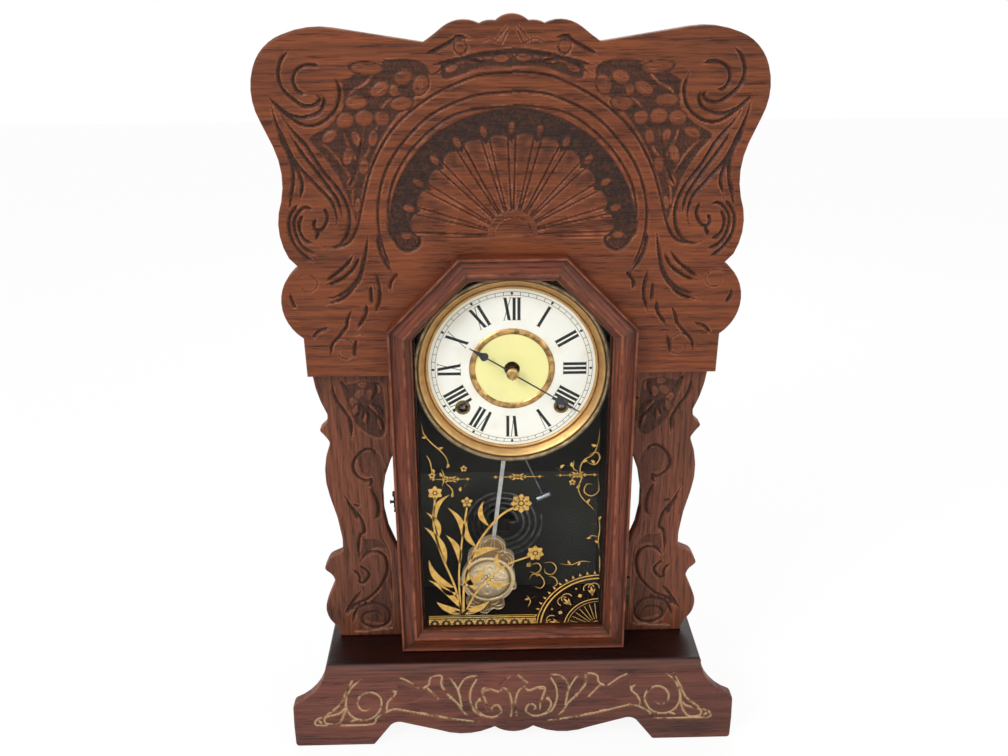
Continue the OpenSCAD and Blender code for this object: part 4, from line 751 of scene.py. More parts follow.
def mesh_object(name: str, places: Points, faces: Sequence[Sequence[int]], finish: Finish,
                marks: dict[str, Points] | None = None, crease: float = 35.0) -> bpy.types.Object:
    """A mesh in the scene.

    Args:
        name: Name of the piece.
        places: Its points in metres.
        faces: Its faces.
        finish: Its finish.
        marks: Numbers that the mesh carries at its points.
        crease: Angle in degrees above which an edge stays sharp.

    Returns:
        The object.
    """
    mesh = bpy.data.meshes.new(name)
    mesh.from_pydata([tuple(p) for p in places], [], [tuple(int(i) for i in f) for f in faces])
    mesh.validate()
    mesh.shade_smooth()
    mesh.set_sharp_from_angle(angle=math.radians(crease))
    for mark, values in (marks or {}).items():
        mesh.attributes.new(mark, "FLOAT", "POINT").data.foreach_set("value", np.asarray(values, np.float32))
    mesh.materials.append(finish.material())
    piece = bpy.data.objects.new(name, mesh)
    bpy.context.scene.collection.objects.link(piece)
    return piece


def seat(piece: bpy.types.Object, body: str, slot: str, *nodes: str) -> bpy.types.Object:
    """Puts a piece on its body, hides the CAD nodes that it stands for, and reports it."""
    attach(piece, body)
    if nodes:
        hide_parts(*nodes)
    log.info("%s: %d faces on %s", piece.name, len(piece.data.polygons), body)
    return piece


def dress(finish: Finish, *nodes: str) -> None:
    """Gives CAD nodes their finish."""
    for node in nodes:
        mesh = bpy.data.objects[node].data
        mesh.materials.clear()
        mesh.materials.append(finish.material())


class Cutout:
    """Flat shapes that are cut from one thin sheet and lie in one plane."""

    def __init__(self, y: float, thickness: float) -> None:
        """Keeps the front plane and the thickness, in millimetres."""
        self.y, self.thickness = y, thickness
        self.places: list[tuple[float, float, float]] = []
        self.faces: list[list[int]] = []

    def add(self, ring: Points) -> None:
        """Adds one closed shape."""
        n, first = len(ring), len(self.places)
        ring = ring if area(ring) > 0 else ring[::-1]
        for y in (self.y, self.y + self.thickness):
            self.places += [(x, y, z) for x, z in ring]
        self.faces.append([first + i for i in range(n)])
        self.faces.append([first + n + i for i in reversed(range(n))])
        for i in range(n):
            j = (i + 1) % n
            self.faces.append([first + j, first + i, first + n + i, first + n + j])

    def ribbon(self, line: Points, width: float, pointed: bool = False) -> None:
        """Adds a band along a line, with pointed ends if wanted."""
        run = np.gradient(line, axis=0)
        side = np.stack([-run[:, 1], run[:, 0]], 1) / np.maximum(np.hypot(*run.T), 1e-9)[:, None]
        share = np.linspace(0, 1, len(line))
        half = np.full(len(line), width / 2)
        if pointed:
            half = half * np.maximum(np.sin(np.pi * share) ** 0.7, 0.12)
        self.add(np.concatenate([line + side * half[:, None], (line - side * half[:, None])[::-1]]))

    def arc(self, centre: Points, radius: float, start: float, end: float, width: float, steps: int = 40) -> None:
        """Adds a band along a part of a circle, from one angle in degrees to another."""
        self.ribbon(centre + polar(radius, np.radians(np.linspace(start, end, steps))), width)

    def ring(self, centre: Points, radius: float, width: float, steps: int = 120) -> None:
        """Adds a whole circle as two halves that meet."""
        for start in (0, 180):
            self.arc(centre, radius, start, start + 180, width, steps // 2 + 1)

    def leaf(self, foot: Points, tip: Points, width: float, bend: float = 0.0) -> None:
        """Adds a leaf from its foot to its tip, bent to the left by a share of its length."""
        run = tip - foot
        side = np.array([-run[1], run[0]])
        t = np.linspace(0, 1, 14)[:, None]
        middle = foot + run * t + side * bend * 4 * t * (1 - t)
        half = width / 2 * np.sin(np.pi * t ** 0.8) ** 0.9
        unit = side / np.hypot(*side)
        self.add(np.concatenate([middle + unit * half, (middle - unit * half)[::-1][1:-1]]))

    def dot(self, centre: Points, radius: float, corners: int = 14, turn: float = 0.0) -> None:
        """Adds a round dot, or a diamond with 4 corners."""
        self.add(centre + polar(radius, np.linspace(0, math.tau, corners, endpoint=False) + math.radians(turn)))

    def rosette(self, centre: Points, radius: float, petals: int) -> None:
        """Adds petals round a middle."""
        for k in range(petals):
            out = polar(1.0, math.tau * k / petals + math.pi / 2)
            self.leaf(centre + out * radius * 0.28, centre + out * radius, radius * 0.62)

    def piece(self, name: str, finish: Finish) -> bpy.types.Object:
        """The sheet as one piece."""
        return mesh_object(name, np.array(self.places) * MM, self.faces, finish)


class Lathe:
    """Turned pieces round an axis along y."""

    def __init__(self, profile: Sequence[tuple[float, float]], steps: int = 96) -> None:
        """Keeps the profile, pairs of radius and y in millimetres."""
        self.profile, self.steps = np.array(profile), steps

    def piece(self, name: str, x: float, z: float, finish: Finish,
              marks: dict[str, Sequence[float]] | None = None) -> bpy.types.Object:
        """The turned piece at a place in millimetres, with marks for each point of the profile."""
        angle = np.linspace(0, math.tau, self.steps, endpoint=False)
        radius, y = self.profile.T
        places = np.stack([x + np.outer(np.cos(angle), radius), np.tile(y, (self.steps, 1)),
                           z + np.outer(np.sin(angle), radius)], -1).reshape(-1, 3)
        n = len(radius)
        faces = [[i * n + k, j * n + k, j * n + (k + 1) % n, i * n + (k + 1) % n]
                 for i, j in zip(range(self.steps), np.roll(range(self.steps), -1)) for k in range(n)]
        spread = {key: np.tile(value, self.steps) for key, value in (marks or {}).items()}
        return mesh_object(name, places * MM, faces, finish, spread)


# Carving


@dataclass(frozen=True)
class Cut:
    """A cut along a smooth line; it rises over its own width on each side."""

    places: str
    left: float = 1.3
    right: float = 1.3
    depth: float = 1.3
    taper: float = 0.22
    wax: float = 0.0

    def press(self, at: Points, depth: Points, wax: Points) -> None:
        """Deepens a field of depths, in place.

        Args:
            at: The places of the field.
            depth: The depths there.
            wax: How much wax lies there.
        """
        line = spline(numbers(self.places))
        reach = max(self.left, self.right)
        near = np.all((at > line.min(0) - reach) & (at < line.max(0) + reach), axis=1).nonzero()[0]
        if not len(near):
            return
        distance, share, left = near_line(at[near], line)
        ends = soft(np.minimum(share, 1 - share) / self.taper) * 0.85 + 0.15 if self.taper else 1.0
        half = np.where(left, self.left, self.right) * ends
        fall = (1 - soft(distance / half)) * np.sqrt(ends)
        if self.depth < 0:
            depth[near] += self.depth * fall
        else:
            depth[near] = np.maximum(depth[near], self.depth * fall)
        wax[near] = np.maximum(wax[near], self.wax * soft(fall * 2 - 0.3))


@dataclass(frozen=True)
class Bed:
    """A part of the ground that is pressed in behind the ornament."""

    places: str
    depth: float = 1.2
    edge: float = 1.6

    def press(self, at: Points, depth: Points, wax: Points) -> None:
        """Deepens a field of depths, in place."""
        ring = numbers(self.places)
        ring = spline(np.concatenate([ring, ring[:1]]))[:-1]
        near = np.all((at > ring.min(0)) & (at < ring.max(0)), axis=1).nonzero()[0]
        near = near[inside(at[near], ring)]
        if not len(near):
            return
        distance = near_line(at[near], np.concatenate([ring, ring[:1]]))[0]
        stipple = 0.18 * np.sin(at[near, 0] * 2.1 + 1.7 * np.sin(at[near, 1] * 1.3)) * np.sin(at[near, 1] * 2.4)
        depth[near] = np.maximum(depth[near], (self.depth + stipple) * soft(distance / self.edge))


@dataclass(frozen=True)
class Pad:
    """A petal or bud that stands up from the ground: x, z, two radii and a turn in degrees."""

    x: float
    z: float
    along: float
    across: float
    turn: float = 0.0
    top: float = 0.1

    def press(self, at: Points, depth: Points, wax: Points) -> None:
        """Raises a field of depths, in place."""
        angle = math.radians(self.turn)
        run = at - (self.x, self.z)
        u = (run[:, 0] * math.cos(angle) + run[:, 1] * math.sin(angle)) / self.along
        v = (run[:, 1] * math.cos(angle) - run[:, 0] * math.sin(angle)) / self.across
        out = np.hypot(u, v)
        gap = 0.9 / min(self.along, self.across)
        rim = (out >= 1) & (out < 1 + gap)
        depth[rim] = np.maximum(depth[rim], 1.35 * (1 - (out[rim] - 1) / gap))
        on = out < 1
        depth[on] = self.top + (1.35 - self.top) * out[on] ** 5


@dataclass(frozen=True)
class Shell:
    """The fan in the arch of the crest: flutes round a hub, with curls at their ends."""

    x: float = 0.0
    z: float = 454.0
    hub: float = 14.0
    collar: float = 19.5
    reach: float = 76.0
    flutes: int = 12
    bed: float = 94.0

    def press(self, at: Points, depth: Points, wax: Points) -> None:
        """Cuts the fan and its ground."""
        run = at - (self.x, self.z)
        radius = np.hypot(*run.T)
        angle = np.degrees(np.arctan2(run[:, 1], run[:, 0]))
        step = 180 / self.flutes
        upper = (angle > 0) & (angle < 180)
        u = 2 * ((angle / step) % 1) - 1
        size = np.abs(u)
        tip = self.reach - 5.5 * size ** 2.5 + 1.2 * np.cos(np.radians(angle * 6))
        ground = upper & (radius < self.bed) & (radius > self.collar)
        press = 1.5 * soft((self.bed - radius[ground]) / 2.2)
        depth[ground] = np.maximum(depth[ground], press)
        flute = upper & (radius >= self.collar) & (radius < tip)
        share = (radius - self.collar) / (self.reach - self.collar)
        away = (1 - size) / 2 * radius * math.radians(step)
        groove = 1.45 * soft(1 - np.abs(away - 0.15 * radius * math.radians(step)) / 1.35)
        scoop = 0.85 * share * (1 - (size / 0.68) ** 2)
        ripple = 0.12 * share * np.sin(radius * 0.55 + 2.2 * np.sin(angle * 0.35)) * (size < 0.66)
        shape = np.maximum(0.12 + np.where(size < 0.68, scoop + ripple, 0.0), groove)
        end = 1.45 * soft(1 - (tip - radius) / 1.6)
        depth[flute] = np.maximum(shape, end)[flute]
        collar = upper & (radius >= self.hub) & (radius < self.collar)
        middle = np.abs(radius - (self.hub + self.collar) / 2) / ((self.collar - self.hub) / 2)
        depth[collar] = (0.1 + 1.1 * middle ** 4)[collar]
        boss = upper & (radius < self.hub)
        depth[boss] = (0.5 * soft((self.hub - radius) / 2))[boss]
        for k in range(self.flutes + 1):
            out = math.radians(k * step)
            place = (self.x + (self.reach + 3.2) * math.cos(out), self.z + (self.reach + 3.2) * math.sin(out))
            Pad(*place, 4.6, 2.6, k * step, 0.35).press(at, depth, wax)


def flat_ring(node: str, y: float) -> Points:
    """Outline of the faces of a CAD board that lie in one plane.

    Args:
        node: Name of the CAD node.
        y: The plane, in metres.

    Returns:
        The widest closed outline there, in millimetres, anticlockwise seen from the front.
    """
    mesh = bpy.data.objects[node].data
    key = [tuple(round(c * 1e6) for c in v.co) for v in mesh.vertices]
    edges: set[tuple[tuple[int, ...], tuple[int, ...]]] = set()
    for face in mesh.polygons:
        corners = [key[i] for i in face.vertices]
        if all(abs(c[1] - y * 1e6) < 20 for c in corners):
            edges.update(zip(corners, corners[1:] + corners[:1]))
    onward = {a: b for a, b in edges if (b, a) not in edges}
    best, most = np.zeros((0, 2)), 0.0
    while onward:
        start = next(iter(onward))
        loop = [start]
        while (step := onward.pop(loop[-1], None)) is not None and step != start:
            loop.append(step)
        ring = np.array([(c[0], c[2]) for c in loop]) / 1000
        size = area(ring)
        if abs(size) > most:
            best, most = (ring if size > 0 else ring[::-1]), abs(size)
    return best


def close_spaced(ring: Points, step: float) -> Points:
    """The same outline with points no further apart than a step."""
    made = []
    for a, b in zip(ring, np.roll(ring, -1, 0)):
        count = max(1, math.ceil(np.hypot(*(b - a)) / step))
        made.append(a + (b - a) * np.linspace(0, 1, count, endpoint=False)[:, None])
    return np.concatenate(made)


@dataclass
class CarvedBoard:
    """A board cut to its CAD outline, whose front is pressed in by cuts, beds, pads and a shell.

    The front lies a reserve behind the node's own, step is the distance of the points where it is carved and
    coarse times that elsewhere, and edge is the radius of the rounded rim. settle says where the ornament is
    read, base gives the depth of the plain front, and ease changes the outline.
    """

    node: str
    finish: Finish
    marks: tuple = ()
    step: float = 1.0
    edge: float = 1.5
    coarse: int = 3
    reserve: float = 0.0
    body: str = "root"
    slot: str = "oak"
    settle: Callable[[Points], Points] | None = None
    base: Callable[[Points], Points] | None = None
    ease: Callable[[Points], Points] | None = None

    def place(self, at: Points) -> Points:
        """Places where the ornament is read: the right half mirrors the left, a little unevenly."""
        if self.settle is not None:
            return self.settle(at)
        right = at[:, 0] > 0
        wander = np.stack([np.sin(at[:, 1] / 19 + 2 * right), np.cos(at[:, 0] / 23 + 3 * right)], 1) * 0.35
        return np.stack([-np.abs(at[:, 0]), at[:, 1]], 1) + wander

    def depths(self, at: Points, distance: Points) -> tuple[Points, Points]:
        """How deep the front lies at some places, and the wax there.

        Args:
            at: The places.
            distance: Their distances from the edge.

        Returns:
            Depths and amounts of wax.
        """
        local = self.place(at)
        depth = self.base(local) if self.base else np.zeros(len(at))
        wax = np.zeros(len(at))
        for mark in self.marks:
            mark.press(local, depth, wax)
        away = np.clip(distance, 0, self.edge)
        rounded = self.edge - np.sqrt(np.maximum(self.edge ** 2 - (self.edge - away) ** 2, 0))
        return np.maximum(depth, 0) * soft((distance - 0.3) / 1.2) + rounded, wax

    def net(self, ring: Points) -> Points:
        """Points inside the outline, close where the front is carved and wide where it is plain."""
        low, high = ring.min(0), ring.max(0)
        columns = int((high[0] - low[0]) / self.step) + 1
        rows = int((high[1] - low[1]) / self.step) + 1
        i, j = np.meshgrid(np.arange(columns), np.arange(rows))
        at = np.stack([low[0] + (i + 0.5 * (j % 2)) * self.step, low[1] + j * self.step], -1).reshape(-1, 2)
        within = inside(at, ring)
        depth = np.zeros(len(at))
        distance = np.full(len(at), -1.0)
        closed = np.concatenate([ring, ring[:1]])
        distance[within] = near_line(at[within], closed)[0]
        depth[within] = self.depths(at[within], distance[within])[0]
        field = depth.reshape(rows, columns)
        rise = np.maximum(np.abs(np.gradient(field, axis=0)), np.abs(np.gradient(field, axis=1)))
        busy = rise > 0.03
        for axis in (0, 1):
            busy = busy | np.roll(busy, 1, axis) | np.roll(busy, -1, axis)
        plain = (i % self.coarse == 0) & (j % self.coarse == 0)
        return at[(busy | plain).reshape(-1) & (distance > 0.62 * self.step)]

    @staticmethod
    def lips(depth: Points, faces: Sequence[Sequence[int]]) -> Points:
        """How far each point stands out from the mean of its neighbours, from 0 to 1."""
        corners = np.array(faces)
        ends = np.concatenate([corners[:, [0, 1]], corners[:, [1, 2]], corners[:, [2, 0]]])
        total, count = np.zeros(len(depth)), np.zeros(len(depth))
        for a, b in ((0, 1), (1, 0)):
            np.add.at(total, ends[:, a], depth[ends[:, b]])
            np.add.at(count, ends[:, a], 1)
        return ((total / np.maximum(count, 1) - depth - 0.06) / 0.3).clip(0, 1)

    def build(self) -> None:
        """Makes the carved piece and seats it."""
        low, high = box(self.node)
        ring = close_spaced(flat_ring(self.node, high.y * MM), self.step * 1.1)
        ring = self.ease(ring) if self.ease else ring
        closed = np.concatenate([ring, ring[:1]])
        run = np.roll(ring, -1, 0) - np.roll(ring, 1, 0)
        inward = np.stack([-run[:, 1], run[:, 0]], 1) / np.hypot(*run.T)[:, None]
        rows = []
        for share in (0.22, 0.6):
            row = ring + inward * self.edge * share
            rows.append(row[near_line(row, closed)[0] > self.edge * share * 0.9])
        net = self.net(ring)
        net = net[near_line(net, closed)[0] > self.edge * 0.85]
        flat = [Vector(p) for p in np.concatenate([ring, *rows, net])]
        verts, _, faces, *_ = delaunay_2d_cdt(flat, [], [list(range(len(ring)))], 1, 1e-5, False)
        at = np.array([tuple(v) for v in verts])
        distance = near_line(at, closed)[0]
        distance[distance < 1e-4] = 0
        depth, wax = self.depths(at, distance)
        middles = at[np.array(faces)].mean(1)
        faces = [list(f) for f, keep in zip(faces, inside(middles, ring)) if keep]
        edges = {(f[k], f[(k + 1) % len(f)]) for f in faces for k in range(len(f))}
        onward = {a: b for a, b in edges if (b, a) not in edges}
        start = next(iter(onward))
        rim = [start]
        while (step := onward[rim[-1]]) != start:
            rim.append(step)
        n = len(at)
        places = np.concatenate([
            np.stack([at[:, 0], low.y + self.reserve + depth, at[:, 1]], 1),
            np.stack([at[rim, 0], np.full(len(rim), high.y), at[rim, 1]], 1)])
        for k, a in enumerate(rim):
            after = (k + 1) % len(rim)
            faces.append([rim[after], a, n + k, n + after])
        faces.append([n + k for k in reversed(range(len(rim)))])
        # The recess mark darkens the cuts and beds: dust, and painted shade in the hollows.
        recess = np.concatenate([soft((depth - 0.35) / 1.1) * (distance > self.edge * 0.7), np.zeros(len(rim))])
        # Below, the rounded rim is marked lighter as wear, and the lips of the cuts as painted highlight.
        lip = self.lips(depth, faces[:-1 - len(rim)]) * (distance > self.edge) * (depth < 0.45)
        wear_and_highlight = np.concatenate([np.where(distance < self.edge * 0.5, 0.6, 0.8 * lip), np.zeros(len(rim))])
        marks = {"recess": recess, "wax": np.concatenate([wax, np.zeros(len(rim))]), "wear_and_highlight": wear_and_highlight}
        piece = mesh_object(self.node + "_carved", places * MM, faces, self.finish, marks, 50)
        seat(piece, self.body, self.slot, self.node)


def cuts(rows: Iterable[str], **shape: float) -> tuple[Cut, ...]:
    """Cuts of one shape along several lines."""
    return tuple(Cut(row, **shape) for row in rows)


@dataclass
class Crest:
    """The carved crest board."""

    node: str = "crest_board"
    beds: tuple[str, ...] = (
        "-121 566 -96 579 -70 581 -58 574 -63 560 -80 543 -93 525 -104 503 -111 481 -116 464 -121 482 -127 498"
        " -137 514 -146 527 -131 537 -121 549",
        "-52 577 -36 583 -16 587 8 588 8 575 -20 574 -48 566",
        "-95 470 -94 456 -86 446 -78 443.5 -71 447 -73 454 -84 454 -90 462",
    )
    band: tuple[str, ...] = (
        "12 571.5 -15 570.5 -33 566.5 -57.5 555 -78.5 539.5 -92 523.5 -103 502.5 -110 480 -116 460 -124 449 -140 445",
        "12 558.5 -12 557.5 -30.5 554.5 -58 542 -79 522 -92 502 -98.5 480 -99.5 460 -96.5 443.5 -90.5 427",
    )
    scrolls: tuple[str, ...] = (
        "-155 588 -161.5 580 -164 571 -162.5 563 -157 556.5 -148 550.5 -140.5 551 -137 555 -141 558.5",
        "-134 576.5 -144.5 577 -151.5 573.5 -154 567 -151.5 560.5 -145 558",
        "-125.5 571 -122 560 -124.5 548.5 -131.5 540.5 -140 536 -149.5 536 -159.5 542 -168 550 -173 557",
        "-169.5 554 -164 547.5 -153 542.5 -143.5 543.5 -136.5 547 -134 554 -136 558",
        "-138.5 477.5 -136.5 469 -141 460.5 -147 459",
        "-146 476 -154 476 -161 467.5 -161 457.5 -156.5 447.5 -146 441.5",
        "-154.5 472 -158 463.5 -156 454.5 -149.5 450",
        "-145 469 -147 463 -144.5 458 -147 452",
        "-156.5 480.5 -164.5 469 -165 456 -159.5 444.5 -149 435.5",
        "-91 459 -85 446.5 -78 443.5 -71.5 447 -70.5 452 -74.5 454",
    )
    leaves: tuple[str, ...] = (
        "-172 554.5 -168 538 -162.5 524.5 -155.5 509.5 -143 494.5 -132.5 481.5 -130 468 -133 459",
        "-168 549 -159 535.5 -147.5 522 -138 505.5 -126.5 490 -120.5 474.5 -121.5 460 -129 448.5 -140.5 447 -147 453",
        "-164 522 -157 508.5 -152.5 494.5 -156.5 480.5",
        "-168.5 541 -165.5 527.5 -160 514 -158.5 498.5 -162 483.5 -165.5 472",
        "-160 531 -149 514 -139 500 -128 482 -126 466",
        "-121 488.5 -114.5 502.5 -111 516 -107.5 531",
        "-123 498.5 -128 508 -134 513",
        "-114 441.5 -119 430.5 -126.5 423.5 -134.5 419 -142.5 417.5",
        "-110 447.5 -112 433.5 -117 421 -125.5 412 -134.5 407.5 -142.5 407.5",
        "-107.5 458 -110.5 438.5 -115 422.5 -122 412.5 -130 405.5 -145.5 401.5",
        "-119.5 441 -124 433.5 -132 426.5 -142.5 419.5",
        "-100.5 458 -99.5 445.5 -96.5 436 -90.5 425",
        "-103.5 427 -100.5 415 -101 404 -105 393",
        "-107 417 -107 410 -107 401",
        "-111.5 403 -111 396 -113.5 389.5 -120 381",
        "-122.5 399 -126 389 -127.5 383 -134 375 -139.5 368.5 -142 358",
        "-120 374 -122 366 -123 358",
        "-169 411 -167 404 -164.5 399",
        "-155.5 374 -150.5 380.5 -141 384",
        "-86 426 -89.5 421.5 -92 417 -92.5 411",
        "-57 569 -43.5 578 -23 583.5 0 585",
        "-62 583 -44 592 -38 596 -28 594",
        "-58 576 -36.5 581 -14 578",
    )
    small: tuple[str, ...] = (
        "-163.5 419 -160 425 -153 425.5 -148 420 -151 413.5 -158 413 -160.5 418 -156.5 421.5",
        "-140 364.5 -138.5 371 -131 374.5 -124 370 -123.5 362 -129 357.5 -135 360 -134 366 -129.5 366.5",
        "-122.5 376.5 -118 378 -113.5 376.5",
        "-42.5 588 -37 583 -31 587 -34 593.5 -41 593 -42.5 588",
        "-24 590 -16 594 -8 591 -4 598 0 601",
        "-14 590 -8 597 -2 604",
    )
    stems: tuple[str, ...] = (
        "-117 470 -117 486 -113 502 -109 520 -106 534", "-115 493 -121 504 -126 512 -133 520 -139 524",
        "-112 508 -104 516 -100 528 -95 536", "-112 510 -118 522 -121 532", "-118 548 -114 558 -104 564 -96 572",
        "-104 562 -96 560 -86 559 -78 556", "-84 560 -76 566 -68 568", "-94 546 -88 552 -80 556",
        "-113 576 -100 579 -90 577", "-124 545 -119 552 -113 552", "-48 571 -40 577 -28 580 -12 582 4 583",
        "-106 498 -99 508 -93 519 -86 530",
    )
    veins: tuple[str, ...] = (
        "-123 539 -119 540 -115 539", "-106 537 -105.8 541 -105.6 544", "-96 540 -92 540.5 -89 539",
        "-85 549 -79 550 -73 551", "-66 568 -65 563 -64 558", "-82 567 -77 568 -72 570", "-118 551 -111 551.5 -104 552",
        "-112 575 -102.5 574.5 -93 573.5", "-99 557 -94 560 -89 563", "-119 519 -118.5 513 -118 507",
        "-136 525 -131 528 -126 531", "-112 531 -112 526 -112.5 521",
    )
    pads: tuple[tuple[float, ...], ...] = (
        (-119.5, 539, 6.8, 5.8, 15), (-105.8, 540.5, 6.8, 6, 0), (-93, 540, 5.6, 5.4, -25),
        (-79, 550, 8.6, 5.2, 10), (-65, 563, 5.6, 7.6, -25), (-77, 568, 6.8, 5, 20), (-111, 551.5, 8.6, 5, 0),
        (-102.5, 574.5, 12, 4.4, -4), (-94, 560, 8, 5, 30), (-84, 559, 3.4, 4.5, 0), (-118.5, 513.5, 3.8, 7.4, -18),
        (-107.5, 506, 3.8, 5.8, -14), (-131, 528, 7, 4, 30), (-112, 526, 3.4, 6, 20), (-100, 526, 3.4, 6.4, -10),
        (-118, 494, 3, 5.4, -20), (-36.5, 588.5, 4.4, 4.4, 0), (-114, 478, 2.2, 6, -10), (-26, 579.5, 6, 2.6, 6),
        (-8, 581, 6, 2.8, 0), (-43, 574, 5, 2.4, 22),
    )

    def build(self) -> None:
        """Carves the crest."""
        marks = (
            *(Bed(row) for row in self.beds),
            Shell(),
            *cuts(self.stems, left=1.5, right=1.5, depth=-1.0, taper=0.15),
            *(Pad(*row) for row in self.pads),
            *cuts(self.veins, left=0.8, right=0.8, depth=0.9, taper=0.3),
            *cuts(self.band, left=1.4, right=2.4, depth=1.6, taper=0.06),
            Cut("12 548.5 -10 548 -37.5 544 -58 532 -75.5 514.5 -87.5 494 -92 474 -91.5 459", 2.2, 1.4, 1.5, 0.05),
            Cut("-78.5 453.5 -50 453.2 -15 453.5", 0.9, 0.9, 1.1, 0.08),
            *cuts(self.scrolls, left=1.2, right=3.2, depth=1.9, taper=0.12),
            *cuts(self.leaves, left=1.0, right=3.6, depth=1.9),
            *cuts(self.small, left=0.9, right=0.9, depth=1.0),
        )
        CarvedBoard(self.node, CREST_OAK, marks).build()


@dataclass
class Wings:
    """The two carved side wings."""

    nodes: tuple[str, ...] = ("wing_left", "wing_right")
    leaves: tuple[str, ...] = (
        "-144.5 337 -142.5 321 -136 309.5 -130.5 298 -131.5 281",
        "-138 336 -130 323", "-109.5 333 -109 324.5 -114 316",
        "-123 317.5 -123.5 306 -129 301", "-123 317 -119.5 307.5 -123 298", "-121.5 316 -116 304 -117.5 293",
        "-120 316 -111 305.5 -104.5 297.5 -105 284", "-116 315 -106 310.5 -103.5 301",
        "-121 239 -116 233 -112.5 220.5 -114 210 -119 207.5",
        "-142.5 235 -135.5 221 -127.5 208.5 -125.5 196 -129.5 191.5 -131.5 179 -131.5 167",
        "-134 223 -128 221", "-140 228 -133 215 -131 206",
        "-148.5 112 -139.5 127 -131 138", "-141 121 -139 117", "-135 124 -133.5 119", "-128.5 126 -127.5 121",
        "-122 127 -121.5 122",
    )
    scrolls: tuple[str, ...] = (
        "-113 265 -113.5 271 -119.5 273 -127 267.5 -131 259 -129 250.5 -121.5 245 -117 246.5 -117.5 240.5 -122 239",
        "-132 165 -125.5 174.5 -116 176.5 -108.5 170 -107.5 156.5 -113 142 -125 128.5 -138.5 121.5 -146 112",
        "-132 163.5 -125 157 -123.5 151.5 -129 144 -133 146 -133 151.5 -138 159",
        "-142.5 101 -139.5 113.5 -132 121 -118.5 123 -109.5 116.5 -108 107 -113.5 99.5 -123.5 97.5 -131.5 101.5"
        " -134 107.5 -129 113.5 -119 114 -115 109 -117.5 104.5",
    )
    border: tuple[str, ...] = (
        "-112.5 204 -111.5 190 -106.5 178 -105 161 -105 130 -106.5 97.5",
        "-106.5 97.5 -124 95.5 -142 94.5",
        "-100 333 -99.5 310 -100 282",
    )

    def ease(self, ring: Points) -> Points:
        """Hollows the two notches of the outer edge and rounds its corners."""
        ring = ring.copy()
        side = np.sign(ring[:, 0].mean())
        outer = (np.abs(ring[:, 0]) > 137) & (ring[:, 1] > 97) & (ring[:, 1] < 350)
        if side < 0:
            ring[:, 0] -= 2.0 * (ring[:, 0] < -137)
        for height, wide, deep in ((298.5, 4.5, 2.2), (152.5, 3.6, 1.4), (291.6, 2.8, -1.6), (159.2, 2.8, -1.6)):
            ring[:, 0] -= side * deep * np.exp(-((ring[:, 1] - height) / wide) ** 2) * outer
        for _ in range(4):
            middle = (np.roll(ring, 1, 0) + np.roll(ring, -1, 0)) / 2
            ring = np.where(outer[:, None], (ring + middle) / 2, ring)
        return ring

    def build(self) -> None:
        """Carves both wings."""
        marks = (
            Bed("-139 332 -108 334 -103 322 -103 290 -110 283 -124 292 -131 305", 1.1),
            Bed("-129 270 -112 272 -106 262 -104 240 -110 212 -118 208 -113 222 -119 236 -116 247 -124 250", 0.8),
            Bed("-128 190 -113 188 -108 178 -117 179 -130 172", 0.9),
            Bed("-137 106 -112 101 -106 110 -106 140 -112 150 -113 141 -125 127 -139 121", 0.8),
            Pad(-123, 323, 5.5, 3.6, 40, 0.05), Pad(-115, 322, 3.6, 5, -20, 0.05), Pad(-128, 316, 3.4, 5, 30, 0.05),
            Pad(-108, 327, 3.4, 4.4, 10, 0.05), Pad(-120, 331, 4.4, 3, 0, 0.05), Pad(-112, 308, 2.6, 7.5, 32, 0.1),
            Pad(-120, 303, 2.4, 7, 8, 0.1), Pad(-127, 309, 2.2, 5.5, -14, 0.1), Pad(-107, 296, 2.6, 7, 16, 0.1),
            *cuts(self.leaves, left=1.1, right=3.6, depth=1.9),
            *cuts(self.scrolls, left=1.3, right=3.2, depth=1.9, taper=0.1),
            *(Cut(row, 0.9, 0.9, 1.0, 0.04, wax) for row, wax in zip(self.border, (0.1, 0.45, 0.0))),
        )
        for node in self.nodes:
            CarvedBoard(node, WING_OAK, marks, ease=self.ease).build()


